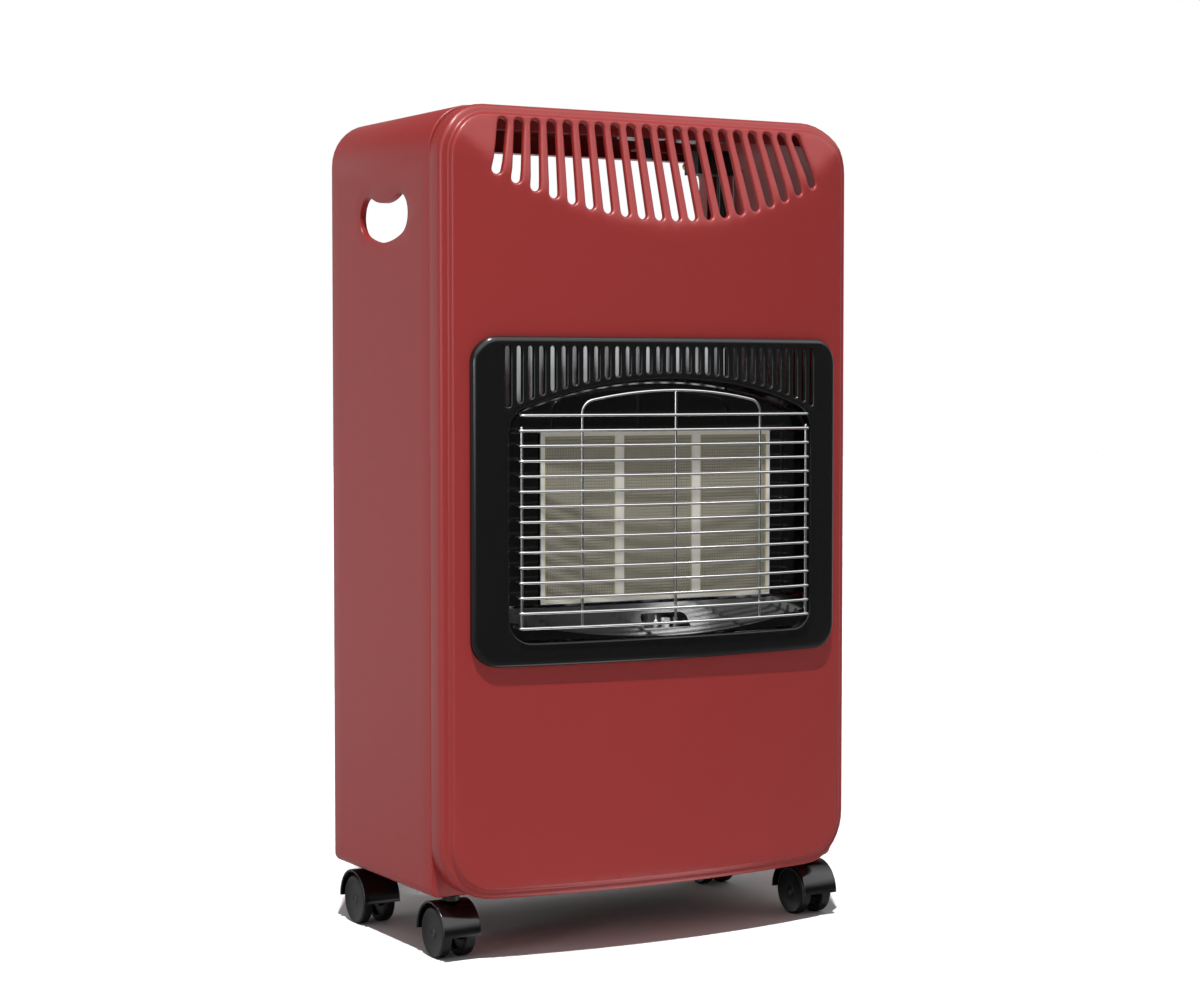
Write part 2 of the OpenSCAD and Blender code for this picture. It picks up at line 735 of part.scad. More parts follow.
// Polished slope below the plaques, with the pilot's slot and a bowed skirt at its lower edge
module reflector_bottom() {
    x1 = mouth_half_w - 2 * seat_gap;
    y1 = frame_y + frame_t / 2;
    below_frame = 2;
    z1 = burner_low_z - seat_gap - below_frame;
    drop = 27;
    set = mouth_collar_d / 2 - surround_proud;
    slope = 50;
    slope_l = 45;
    reach = 60;
    slot_l = 48;
    slot_h = 16;
    slot_r = 6;
    slot_down = 12;
    color([0.10, 0.10, 0.10]) difference() {
        union() {
            intersection() {
                translate([0, y1, z1]) rotate([slope, 0, 0])
                    span([-x1, x1], [-slope_l, 0], [-reflector_t, 0]);
                behind_bow(set, mouth_low_z - slot_down, burner_low_z);
                along_y(surround_y, y1) mouth_outline(-seat_gap);
            }
            intersection() {
                difference() {
                    behind_bow(set, z1 - drop, burner_low_z);
                    behind_bow(set + reflector_t, z1 - drop - past, burner_low_z + past);
                }
                translate([0, y1, z1]) rotate([slope, 0, 0])
                    span([-x1, x1], [-reach, 0], [-reach, 0]);
                span([-x1, x1], [surround_y, y1], [mouth_low_z + seat_gap, burner_low_z]);
                along_y(surround_y, y1) mouth_outline(-seat_gap);
            }
        }
        translate([0, y1, z1]) rotate([slope, 0, 0]) {
            span([-slot_l / 2, slot_l / 2], [-slot_down - slot_h, -slot_down - slot_r], [-past, past]);
            span([slot_r - slot_l / 2, slot_l / 2 - slot_r], [-slot_down - slot_h, -slot_down],
                 [-past, past]);
            for (side = [-1, 1]) translate([side * (slot_l / 2 - slot_r), -slot_down - slot_r, -past])
                cylinder(r = slot_r, h = 2 * past, $fn = small_fn);
        }
    }
}

// ---------------------------------------------------------------- burner

function window_x(i) = (i - 1) * window_pitch;

module burner_frame() {
    color([0.85, 0.84, 0.80]) difference() {
        span([-burner_w / 2, burner_w / 2], [frame_y, frame_y + frame_t], [burner_low_z, burner_top_z]);
        for (i = [0:2]) span([window_x(i) - window_w / 2, window_x(i) + window_w / 2],
            [frame_y - past, frame_y + frame_t + past],
            [burner_low_z + frame_border, burner_top_z - frame_border]);
    }
}

module window_block(i, inset, y0, y1) {
    span([window_x(i) - window_w / 2 + inset, window_x(i) + window_w / 2 - inset], [y0, y1],
         [burner_low_z + frame_border + inset, burner_top_z - frame_border - inset]);
}

module plaque_gaskets() {
    color([0.86, 0.82, 0.70]) for (i = [0:2]) difference() {
        window_block(i, 0, frame_y, plenum_y);
        window_block(i, gasket_w, frame_y - past, plenum_y + past);
    }
}

module plaque(i) {
    color([0.54, 0.52, 0.46])
        window_block(i, gasket_w, frame_y + thin_t, frame_y + thin_t + plaque_t);
}
module ceramic_plaque_left() { plaque(0); }
module ceramic_plaque_middle() { plaque(1); }
module ceramic_plaque_right() { plaque(2); }

// Mixing chamber behind a plaque, open at the plaque and at the mixing tube
module plenum(i) {
    color([0.62, 0.63, 0.64]) difference() {
        window_block(i, -frame_bar_w / 2 + seat_gap, plenum_y, plenum_y + plenum_d);
        window_block(i, gasket_w, plenum_y - past, frame_y + thin_t + plaque_t);
        window_block(i, thin_t + gasket_w, plenum_y, plenum_y + plenum_d - thin_t);
        translate([window_x(i), venturi_y, burner_low_z - past])
            cylinder(d = venturi_d + 2 * run_gap, h = 4 * past + frame_border, $fn = round_fn);
    }
}
module burner_plenum_left() { plenum(0); }
module burner_plenum_middle() { plenum(1); }
module burner_plenum_right() { plenum(2); }

module venturi_tubes() {
    flare = 4;
    up = frame_border + thin_t;
    color([0.70, 0.71, 0.72]) for (i = [0:2]) translate([window_x(i), venturi_y, venturi_low_z])
        rotate_extrude($fn = round_fn) {
            translate([venturi_d / 2 - thin_t, 0]) square([thin_t, venturi_drop + up]);
            translate([venturi_d / 2 - thin_t, 0]) square([flare / 2, thin_t]);
        }
}

module injectors() {
    hole_d = 1.2;
    foot = 3;
    color("goldenrod") for (i = [0:2]) translate([window_x(i), venturi_y, rail_z + rail_d / 2 - foot])
        difference() {
            cylinder(d = injector_d, h = injector_l + foot, $fn = small_fn);
            translate([0, 0, -past]) cylinder(d = hole_d, h = injector_l + foot + 2 * past, $fn = small_fn);
        }
}

module gas_rail() {
    wall = 1.2;
    x0 = window_x(0) - injector_d;
    x1 = pipe_x + pipe_d / 2 + wall;
    color([0.72, 0.73, 0.74]) difference() {
        translate([x0, venturi_y, rail_z]) bar_x(rail_d, x1 - x0);
        translate([x0 + wall, venturi_y, rail_z]) bar_x(rail_d - 2 * wall, x1 - x0 - 2 * wall);
        for (i = [0:2]) translate([window_x(i), venturi_y, rail_z])
            cylinder(d = injector_d + 2 * run_gap, h = rail_d, $fn = small_fn);
        translate([pipe_x, venturi_y, rail_z]) bar_y(pipe_d + 2 * run_gap, rail_d);
    }
}

// ---------------------------------------------------------------- pilot

pilot_set = 7.5;
pilot_up = 1.5;
pilot_y = face_y + pilot_set;
pilot_plate_z = mouth_low_z + pilot_up;
pilot_plate_t = 1.2;
pilot_pitch = 10;
// Holes for the electrode, the burner and the thermocouple
pilot_holes = [4.6, 7, 5];
function pilot_hole(k) = pilot_holes[k + 1];

module pilot_bracket() {
    w = 34;
    behind = 6;
    skirt_y = face_y + mouth_collar_d / 2 - surround_proud + reflector_t;
    slope_gap = 2.2;
    color("silver") difference() {
        intersection() {
            span([-w / 2, w / 2], [skirt_y + slope_gap, pilot_y + behind],
                 [pilot_plate_z, pilot_plate_z + pilot_plate_t]);
            behind_bow(mouth_collar_d / 2 - surround_proud + reflector_t + seat_gap / 3,
                       pilot_plate_z - past, pilot_plate_z + 2 * past);
        }
        for (k = [-1:1]) translate([k * pilot_pitch, pilot_y, pilot_plate_z - past])
            cylinder(d = pilot_hole(k) + 2 * run_gap, h = 3 * past, $fn = small_fn);
    }
}
// Heights of the three tips' feet below the plate
burner_foot = 6;
electrode_foot = 5;
probe_foot = 4;

module pilot_burner() {
    d = pilot_hole(0);
    h = 20;
    foot = [d + 2, 5];
    cap = [d + 1.6, 3];
    color([0.85, 0.84, 0.82]) translate([0, pilot_y, pilot_plate_z - burner_foot]) {
        cylinder(d = d, h = h, $fn = small_fn);
        cylinder(d = foot[0], h = foot[1], $fn = small_fn);
        translate([0, 0, h - cap[1]]) cylinder(d = cap[0], h = cap[1], $fn = small_fn);
    }
}

module ignition_electrode() {
    d = pilot_hole(-1);
    h = 18;
    foot = [d + 1.4, 4];
    tip_d = 1.4;
    tip_h = 22;
    color([0.93, 0.92, 0.90]) translate([-pilot_pitch, pilot_y, pilot_plate_z - electrode_foot]) {
        cylinder(d = d, h = h, $fn = small_fn);
        cylinder(d = foot[0], h = foot[1], $fn = small_fn);
        cylinder(d = tip_d, h = tip_h, $fn = small_fn);
    }
}

// Lanes of the pilot pipe, the ignition lead and the thermocouple, one beside the other
lane_drop = 5;
lane_fall = 4;
function lane_x(k) = pipe_x + k * lane_step;
function lane_z(k) = mouth_low_z - lane_drop - lane_fall * k;

module thermocouple() {
    d = pilot_hole(1);
    probe_h = 18;
    wire = 1.8;
    behind = 11;
    y = control_y + valve_size[1] / 2 + past;
    z = valve_low_z + into_valve;
    color([0.80, 0.55, 0.35]) {
        translate([pilot_pitch, pilot_y, pilot_plate_z - probe_foot])
            cylinder(d = d, h = probe_h, $fn = small_fn);
        pipe_run([[pilot_pitch, pilot_y, pilot_plate_z - past], [pilot_pitch, pilot_y, lane_z(3)],
                  [pilot_pitch, pilot_y + behind, lane_z(3)], [lane_x(3), pilot_y + behind, lane_z(3)],
                  [lane_x(3), y, lane_z(3)], [lane_x(3), y, z], [lane_x(3), control_y, z],
                  [valve_x() + valve_size[0] / 2, control_y, z]], wire);
    }
}

// ---------------------------------------------------------------- controls

function valve_x() = knob_x + valve_off;
// Pipes reach this far into the valve or sit this high in it
into_valve = 6;
pipe_seat = 5;
nozzle_seat = 4;
spindle_up = 8;
bore_end = 1;

module control_console() {
    outer = well_d + 2 * well_wall;
    guide_d = button_d + 4;
    guide_h = 6;
    color([0.09, 0.09, 0.09]) difference() {
        union() {
            for (x = [knob_x, button_x]) translate([x, control_y, 0]) {
                translate([0, 0, well_floor_z - well_wall])
                    cylinder(d = outer, h = top_z + rim_t - well_floor_z + well_wall, $fn = round_fn);
                translate([0, 0, top_z]) cylinder(d = outer + 2 * rim_over, h = rim_t, $fn = round_fn);
            }
            span([button_x, knob_x], [control_y - outer / 2 - rim_over, control_y + outer / 2 + rim_over],
                 [top_z, top_z + rim_t]);
        }
        for (x = [knob_x, button_x]) translate([x, control_y, 0]) difference() {
            translate([0, 0, well_floor_z])
                cylinder(d = well_d, h = well_depth + rim_t + past, $fn = round_fn);
            if (x == button_x) translate([0, 0, well_floor_z - past])
                cylinder(d = guide_d, h = guide_h + past, $fn = round_fn);
        }
        translate([button_x, control_y, well_floor_z])
            cylinder(d = button_d + 2 * run_gap, h = well_depth, $fn = round_fn);
        translate([button_x, control_y, well_floor_z - well_wall - past])
            cylinder(d = plunger_d + 2 * run_gap, h = well_wall + 2 * past, $fn = small_fn);
        translate([knob_x, control_y, well_floor_z - well_wall - past])
            cylinder(d = spindle_d + 2 * run_gap, h = well_wall + 2 * past, $fn = small_fn);
    }
}
plunger_d = 5;

module well_plate(x, hole_d) {
    edge = 1;
    color([0.55, 0.57, 0.57]) translate([x, control_y, plate_z]) difference() {
        cylinder(d = well_d + 2 * well_wall - edge, h = plate_t, $fn = round_fn);
        translate([0, 0, -past]) cylinder(d = hole_d + 2 * run_gap, h = plate_t + 2 * past, $fn = small_fn);
    }
}
module valve_plate() { well_plate(knob_x, spindle_d); }
module igniter_plate() { well_plate(button_x, plunger_d); }

spindle_low_z = valve_low_z + spindle_up;

module gas_valve() {
    neck_wall = 3;
    neck_d = spindle_d + 2 * neck_wall;
    x0 = valve_x() - valve_size[0] / 2;
    y0 = control_y - valve_size[1] / 2;
    color([0.74, 0.62, 0.33]) difference() {
        union() {
            span([x0, x0 + valve_size[0]], [y0, y0 + valve_size[1]], [valve_low_z, valve_top_z]);
            translate([knob_x, control_y, valve_top_z - bore_end])
                cylinder(d = neck_d, h = valve_neck_h + bore_end, $fn = round_fn);
        }
        translate([knob_x, control_y, spindle_low_z - knob_press - bore_end])
            cylinder(d = spindle_d + 2 * run_gap, h = valve_size[2] + valve_neck_h, $fn = small_fn);
        translate([pipe_x, control_y, valve_low_z - past])
            cylinder(d = pipe_d + 2 * run_gap, h = past + pipe_seat + run_gap, $fn = small_fn);
        translate([nozzle_x, nozzle_y - nozzle_seat - run_gap, nozzle_z])
            bar_y(nozzle_d + 2 * run_gap, past + nozzle_seat + run_gap);
    }
}

module valve_spindle() {
    high = knob_z + knob_h - knob_roof;
    color("silver") translate([knob_x, control_y, spindle_low_z])
        cylinder(d = spindle_d, h = high - seat_gap - spindle_low_z, $fn = round_fn);
}

// Round base with a bar grip across it and a bore for the spindle
knob_roof = 4;
module control_knob() {
    base_h = 4.5;
    grip_w = 11;
    grip_in = 3;
    mark = [1.2, 4, 0.6];
    color([0.10, 0.10, 0.10]) translate([knob_x, control_y, knob_z]) difference() {
        union() {
            cylinder(d = knob_d, h = base_h, $fn = round_fn);
            intersection() {
                cylinder(d = knob_d - grip_in, h = knob_h, $fn = round_fn);
                span([-grip_w / 2, grip_w / 2], [-knob_d / 2, knob_d / 2], [0, knob_h]);
            }
        }
        translate([0, 0, -past]) cylinder(d = spindle_d + 2 * run_gap, h = knob_h - knob_roof + past,
            $fn = round_fn);
        span([-mark[0] / 2, mark[0] / 2], [-knob_d / 2, mark[1] - knob_d / 2],
             [knob_h - mark[2], knob_h + past]);
    }
}

piezo_d = 13;
piezo_h = 19;
piezo_floor = 7;
plunger_rest = 1;
module piezo_igniter() {
    color([0.15, 0.15, 0.15]) translate([button_x, control_y, plate_z - piezo_h]) difference() {
        cylinder(d = piezo_d, h = piezo_h, $fn = round_fn);
        translate([0, 0, piezo_floor]) cylinder(d = plunger_d + 2 * run_gap, h = piezo_h, $fn = small_fn);
    }
}

module igniter_button() {
    plunger_z = plate_z - piezo_h + piezo_floor + button_press + plunger_rest;
    color([0.75, 0.10, 0.08]) translate([button_x, control_y, 0]) {
        translate([0, 0, button_z]) cylinder(d = button_d, h = button_h, $fn = round_fn);
        translate([0, 0, plunger_z])
            cylinder(d = plunger_d, h = button_z + plunger_rest - plunger_z, $fn = round_fn);
    }
}

module burner_pipe() {
    into = 3;
    color([0.72, 0.73, 0.74])
        pipe_run([[pipe_x, control_y, valve_low_z + pipe_seat], [pipe_x, control_y, rail_z],
                  [pipe_x, venturi_y + rail_d / 2 - into, rail_z]], pipe_d);
}

module pilot_pipe() {
    d = pilot_pipe_d;
    inset = 4;
    out = 6;
    behind = 13;
    x = lane_x(1);
    start = [valve_x() + valve_size[0] / 2 - inset, control_y + valve_size[1] / 2,
             valve_low_z + spindle_up];
    y = start[1] + out;
    color([0.80, 0.55, 0.35])
        pipe_run([start, [start[0], y, start[2]], [x, y, start[2]], [x, y, lane_z(1)],
                  [x, pilot_y + behind, lane_z(1)], [0, pilot_y + behind, lane_z(1)],
                  [0, pilot_y, lane_z(1)], [0, pilot_y, pilot_plate_z - burner_foot]], d);
}

module ignition_lead() {
    d = 2.4;
    below_plate = 9;
    behind_axis = 24;
    behind = 10;
    z = plate_z - below_plate;
    y = control_y + behind_axis;
    x = lane_x(2);
    color([0.2, 0.2, 0.2])
        pipe_run([[button_x, control_y + piezo_d / 2, z], [button_x, y, z], [x, y, z], [x, y, lane_z(2)],
                  [x, pilot_y + behind, lane_z(2)], [-pilot_pitch, pilot_y + behind, lane_z(2)],
                  [-pilot_pitch, pilot_y, lane_z(2)],
                  [-pilot_pitch, pilot_y, pilot_plate_z - electrode_foot]], d);
}

// Hose nozzle behind the valve: a hexagon, a plain stretch and a tapered end
module hose_inlet() {
    hex_d = 13;
    hex_h = 6;
    tip_h = 3;
    tip_in = 1.6;
    color("goldenrod") translate([nozzle_x, nozzle_y, nozzle_z]) rotate([-90, 0, 0]) difference() {
        union() {
            translate([0, 0, -nozzle_seat])
                cylinder(d = nozzle_d, h = nozzle_seat + hex_h + nozzle_l, $fn = small_fn);
            cylinder(d = hex_d, h = hex_h, $fn = 6);
            translate([0, 0, hex_h + nozzle_l])
                cylinder(d1 = nozzle_d, d2 = nozzle_d - tip_in, h = tip_h, $fn = small_fn);
        }
        cylinder(d = nozzle_d / 2, h = hex_h + nozzle_l + tip_h + past, $fn = small_fn);
    }
}

// ---------------------------------------------------------------- casters

// The pin ends this far above the axle, and the wheels' covers are this thick
pin_up = 2;
wheel_cover = 1;

// Fixed part: collar under the cabinet, swivel pin below it and threaded stud above it
module caster_stem(place) {
    stud_over = 1.5;
    pin_z = axle_z + axle_d / 2 + pin_up;
    stud_top = base_z + sheet_t + tray_t + nut_h + stud_over;
    color([0.75, 0.76, 0.77]) translate([place[0], place[1], 0]) {
        translate([0, 0, hood_top_z + seat_gap])
            cylinder(d = collar_d, h = base_z - hood_top_z - seat_gap, $fn = round_fn);
        translate([0, 0, pin_z]) cylinder(d = pin_d, h = stud_top - pin_z, $fn = round_fn);
    }
}

// Hood over both wheels with the middle web that holds pin and axle
module caster_hood(place) {
    web_gap = 1;
    web_w = caster_w - 2 * wheel_w - 2 * web_gap;
    boss_wall = 3.5;
    boss_d = axle_d + 2 * boss_wall;
    color([0.07, 0.07, 0.07]) translate([place[0], place[1], 0]) difference() {
        union() {
            intersection() {
                translate([-hood_w / 2, trail, axle_z]) difference() {
                    bar_hood(hood_r, hood_w);
                    translate([-past, 0, 0]) bar_hood(hood_r - hood_wall, hood_w + 2 * past);
                }
                span([-hood_w, hood_w], [-hood_w, hood_w], [axle_z, hood_top_z + past]);
            }
            intersection() {
                translate([-web_w / 2, trail, axle_z]) bar_hood(hood_r - hood_wall / 2, web_w);
                span([-hood_w, hood_w], [-hood_w, hood_w], [axle_z, hood_top_z]);
            }
            translate([-web_w / 2, trail, axle_z]) bar_hood(boss_d / 2, web_w);
        }
        translate([0, 0, axle_z + axle_d / 2 + pin_up - seat_gap])
            cylinder(d = pin_d + 2 * run_gap, h = hood_r, $fn = round_fn);
        translate([-hood_w, trail, axle_z]) bar_hood(axle_d / 2 + run_gap, 2 * hood_w);
    }
}
module bar_hood(r, l) { rotate([0, 90, 0]) cylinder(r = r, h = l, $fn = round_fn); }

module caster_axle(place) {
    color("silver") translate([place[0] - caster_w / 2 + wheel_cover, place[1] + trail, axle_z])
        bar_hood(axle_d / 2, caster_w - 2 * wheel_cover);
}

// Wheel with a dished outer face and a bore that ends below its cover
module caster_wheel(place, side) {
    cover = wheel_cover;
    tread = 5;
    dish_d = wheel_d - 2 * tread;
    color([0.15, 0.15, 0.15]) translate([place[0], place[1] + trail, axle_z])
        mirror([side < 0 ? 1 : 0, 0, 0]) difference() {
            translate([caster_w / 2 - wheel_w, 0, 0]) bar_hood(wheel_d / 2, wheel_w);
            translate([caster_w / 2 - wheel_w - past, 0, 0])
                bar_hood(axle_d / 2 + run_gap, wheel_w - cover + past);
            translate([caster_w / 2 - wheel_w - past, 0, 0]) difference() {
                bar_hood(dish_d / 2, wheel_w / 2 + past);
                translate([-past, 0, 0]) bar_hood(axle_d, wheel_w + 2 * past);
            }
        }
}

module caster_nuts() {
    color("silver") for (place = caster_places())
        translate([place[0], place[1], base_z + sheet_t + tray_t]) difference() {
            rotate([0, 0, 30]) cylinder(r = nut_r, h = nut_h, $fn = 6);
            translate([0, 0, -past]) cylinder(r = stud_r() + run_gap, h = nut_h + 2 * past, $fn = round_fn);
        }
}

cabinet_casing();
base_tray();
front_panel();
heat_shield();
burner_surround();
guard_grille();
guard_arch_wire();
reflector_top();
reflector_bottom();
reflector_left();
reflector_right();
burner_frame();
plaque_gaskets();
ceramic_plaque_left();
ceramic_plaque_middle();
ceramic_plaque_right();
burner_plenum_left();
burner_plenum_middle();
burner_plenum_right();
venturi_tubes();
injectors();
gas_rail();
pilot_bracket();
pilot_burner();
ignition_electrode();
thermocouple();
control_console();
valve_plate();
igniter_plate();
gas_valve();
valve_spindle();
control_knob();
piezo_igniter();
igniter_button();
burner_pipe();
pilot_pipe();
hose_inlet();
ignition_lead();
panel_screws();
caster_nuts();
caster_stem(caster_places()[0]);  // caster_fl_stem
caster_hood(caster_places()[0]);  // caster_fl_hood
caster_axle(caster_places()[0]);  // caster_fl_axle
caster_wheel(caster_places()[0], -1);  // caster_fl_wheel_left
caster_wheel(caster_places()[0], 1);  // caster_fl_wheel_right
caster_stem(caster_places()[1]);  // caster_fr_stem
caster_hood(caster_places()[1]);  // caster_fr_hood
caster_axle(caster_places()[1]);  // caster_fr_axle
caster_wheel(caster_places()[1], -1);  // caster_fr_wheel_left
caster_wheel(caster_places()[1], 1);  // caster_fr_wheel_right
caster_stem(caster_places()[2]);  // caster_rl_stem
caster_hood(caster_places()[2]);  // caster_rl_hood
caster_axle(caster_places()[2]);  // caster_rl_axle
caster_wheel(caster_places()[2], -1);  // caster_rl_wheel_left
caster_wheel(caster_places()[2], 1);  // caster_rl_wheel_right
caster_stem(caster_places()[3]);  // caster_rr_stem
caster_hood(caster_places()[3]);  // caster_rr_hood
caster_axle(caster_places()[3]);  // caster_rr_axle
caster_wheel(caster_places()[3], -1);  // caster_rr_wheel_left
caster_wheel(caster_places()[3], 1);  // caster_rr_wheel_right
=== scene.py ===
# %% [markdown]
# # A cabinet heater for bottled gas
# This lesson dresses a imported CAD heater: a bowed steel front with fanned vents, a black burner surround
# with a wire guard, three ceramic plaques, a casing with handle holes, and four twin-wheel casters. The CAD
# solids give every place and size, so each cell below asks the frame where a part is and only adds what
# sheet steel, wire and enamel look like: rolled rims, stepped edges, bends and finishes.

# %% Load the frame
import json
import math

import bmesh
import bpy
import numpy as np
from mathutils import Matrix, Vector, geometry


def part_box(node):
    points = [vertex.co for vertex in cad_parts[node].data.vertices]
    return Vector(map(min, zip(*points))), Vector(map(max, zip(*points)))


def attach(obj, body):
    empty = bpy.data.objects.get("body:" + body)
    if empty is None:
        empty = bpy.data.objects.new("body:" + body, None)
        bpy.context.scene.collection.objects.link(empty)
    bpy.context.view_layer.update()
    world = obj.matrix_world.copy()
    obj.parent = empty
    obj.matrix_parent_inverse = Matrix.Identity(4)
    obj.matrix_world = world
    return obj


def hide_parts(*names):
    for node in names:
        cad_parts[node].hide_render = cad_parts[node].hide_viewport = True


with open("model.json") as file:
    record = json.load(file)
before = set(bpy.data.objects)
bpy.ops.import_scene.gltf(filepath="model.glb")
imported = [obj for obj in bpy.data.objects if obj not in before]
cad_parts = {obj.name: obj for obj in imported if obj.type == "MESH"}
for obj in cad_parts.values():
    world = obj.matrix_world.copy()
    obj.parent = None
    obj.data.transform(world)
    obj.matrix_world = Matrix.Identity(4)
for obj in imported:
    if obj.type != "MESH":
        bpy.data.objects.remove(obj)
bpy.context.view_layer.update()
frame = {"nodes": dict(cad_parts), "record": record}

mm = 0.001
slots = {part["node"]: part["material_slot"] for part in frame["record"]["subparts"]}

# %% [markdown]
# The stations. A heater like this is built up from a few planes: the seam between casing and front panel,
# the bowed face, the surround that stands proud of it, and the back. Reading them from the frame keeps the
# dressed parts on the solids. A size that no box can tell, such as the bow's radius, is named in
# millimetres in the cell that needs it first.

# %% Stations and shape sizes
casing_low, casing_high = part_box("cabinet_casing")
panel_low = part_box("front_panel")[0]
bezel_low, bezel_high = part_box("burner_surround")
guard_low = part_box("guard_grille")[0]
seam_y = casing_low.y
back_y = casing_high.y
top_z = casing_high.z
base_z = casing_low.z
half_w = casing_high.x
face_y = panel_low.y
bow_r = 830 * mm
bow_y = face_y + bow_r
sheet_t = 1 * mm
print("seam", round(seam_y, 4), "face", round(face_y, 4), "back", round(back_y, 4), "top", round(top_z, 4))


def bow_at(r, x):
    """Depth of a cylinder of radius r about the bow's axis, at x across the front."""
    return bow_y - math.sqrt(r * r - x * x)


# %% [markdown]
# The camera stands to the left, a little over two metres away and half a metre up, and looks slightly down.
# A longer lens keeps the upright edges nearly parallel, the way products are usually shown. Depth of field
# stays off, so that every turn of the object is sharp.

# %% Camera
picture_w = 1200
focal_px = 2531.7
camera_data = bpy.data.cameras.new("camera")
camera_data.sensor_fit = "HORIZONTAL"
camera_data.sensor_width = 36
camera_data.lens = focal_px / picture_w * camera_data.sensor_width
camera = bpy.data.objects.new("camera", camera_data)
bpy.context.scene.collection.objects.link(camera)
camera.location = (-1.1611, -2.0275, 0.5001)
turn, dip = math.radians(29.766), math.radians(2.674)
look = Vector((math.sin(turn) * math.cos(dip), math.cos(turn) * math.cos(dip), -math.sin(dip)))
camera.rotation_mode = "QUATERNION"
camera.rotation_quaternion = look.to_track_quat("-Z", "Y")
camera_data.clip_start, camera_data.clip_end = 0.05, 60
bpy.context.scene.camera = camera
print("camera", [round(v, 3) for v in camera.location], "lens", round(camera_data.lens, 2))

# %% [markdown]
# One helper turns the hex colours of a paint chart into the linear values that Blender's shaders use, and
# one adds a shader node with its settings and links. Every material and the world are made with these two.
# A finish is plain values on one shader, and most finishes add a fine random relief, which breaks up the
# highlights the way a real surface does.

# %% Colour, node and finish helpers
def paint(hex_colour):
    """sRGB hex to linear RGBA."""
    parts = [int(hex_colour[i:i + 2], 16) / 255 for i in (1, 3, 5)]
    return [p / 12.92 if p <= 0.04045 else ((p + 0.055) / 1.055) ** 2.4 for p in parts] + [1.0]


def add(tree, kind, inputs=None, **settings):
    """Adds a node, sets its settings, and fills its inputs with constants, or links to a socket or a node."""
    node = tree.nodes.new(kind)
    for key, value in settings.items():
        setattr(node, key, value)
    for key, value in (inputs or {}).items():
        socket = node.inputs[key]
        if isinstance(value, bpy.types.Node):
            value = value.outputs[0]
        if isinstance(value, bpy.types.NodeSocket):
            tree.links.new(value, socket)
        else:
            socket.default_value = value
    return node


def finish_of(name, colour, roughness, metallic=0.0, grain=None, detail=2.0, **sockets):
    """A material with plain values on its shader; grain is the relief's (size, depth) in millimetres."""
    material = bpy.data.materials.new(name)
    material.use_nodes = True
    tree = material.node_tree
    shader = tree.nodes["Principled BSDF"]
    shader.inputs["Base Color"].default_value = paint(colour)
    shader.inputs["Roughness"].default_value = roughness
    shader.inputs["Metallic"].default_value = metallic
    for key, value in sockets.items():
        shader.inputs[key.replace("_", " ")].default_value = value
    if grain:
        where = add(tree, "ShaderNodeTexCoord")
        noise = add(tree, "ShaderNodeTexNoise", {"Vector": where.outputs["Object"],
                                                 "Scale": 1 / (grain[0] * mm), "Detail": detail})
        bump = add(tree, "ShaderNodeBump", {"Height": noise.outputs["Fac"], "Distance": grain[1] * mm,
                                            "Strength": 1.0})
        tree.links.new(bump.outputs[0], shader.inputs["Normal"])
    return material


# %% [markdown]
# The light is that of a product studio. A small hard lamp like the sun stands high in front and makes the
# floor white and the shadow below the cabinet dark and crisp. The floor's own bounce, a dim sky and one
# soft lamp on the left fill the upright faces. Glossy paint mirrors a world of its own: bright behind the
# heater, where the side wall looks, and dim in front of it, apart from an upright bright strip on the left
# and a bright band higher up. Two tiny lamps of 17 and 2 milliwatts light one place each: the heat shield
# behind the slots, and the enamelled slope below the plaques.

# %% World
world = bpy.data.worlds.new("studio")
bpy.context.scene.world = world
world.use_nodes = True
sky = world.node_tree
sky.nodes.clear()
path = add(sky, "ShaderNodeLightPath")
where = add(sky, "ShaderNodeTexCoord")
axes = add(sky, "ShaderNodeSeparateXYZ", {0: where.outputs["Generated"]})
seen = add(sky, "ShaderNodeMath", {0: path.outputs["Is Camera Ray"],
                                   1: path.outputs["Is Transmission Ray"]}, operation="MAXIMUM")
# axis of the view, where the grade starts and ends on it, and its value at both
grades = {"fill": ("Z", 0.0, 0.6, 0.02, 0.30), "behind": ("Y", -0.3, 0.5, 0.10, 0.57),
          "level": ("Z", 0.12, 0.35, 1.0, 0.3), "band": ("Z", 0.2, 0.5, 0.0, 2.2),
          "in_front": ("Y", -0.3, 0.3, 1.0, 0.0)}
graded = {name: add(sky, "ShaderNodeMapRange", {"Value": axes.outputs[axis], "From Min": start,
                                                "From Max": end, "To Min": low, "To Max": high})
          for name, (axis, start, end, low, high) in grades.items()}
deep = add(sky, "ShaderNodeMath", {0: graded["behind"], 1: graded["level"]}, operation="MULTIPLY")
band = add(sky, "ShaderNodeMath", {0: graded["band"], 1: graded["in_front"]}, operation="MULTIPLY")
strip = add(sky, "ShaderNodeVectorMath", {0: where.outputs["Generated"], 1: (-0.87, -0.49, 0.0)},
            operation="DOT_PRODUCT")
strip = add(sky, "ShaderNodeMapRange", {"Value": strip.outputs["Value"], "From Min": 0.93, "From Max": 0.985,
                                        "To Min": 0.0, "To Max": 2.2})
shine = add(sky, "ShaderNodeMath", {0: strip, 1: band}, operation="ADD")
shine = add(sky, "ShaderNodeMath", {0: shine, 1: deep}, operation="ADD")
fill, mirror, white = (add(sky, "ShaderNodeBackground", {"Color": paint("#ffffff"), "Strength": strength})
                       for strength in (graded["fill"], shine, 1.0))
inner = add(sky, "ShaderNodeMixShader", {0: path.outputs["Is Glossy Ray"], 1: fill, 2: mirror})
outer = add(sky, "ShaderNodeMixShader", {0: seen, 1: inner, 2: white})
add(sky, "ShaderNodeOutputWorld", {"Surface": outer})


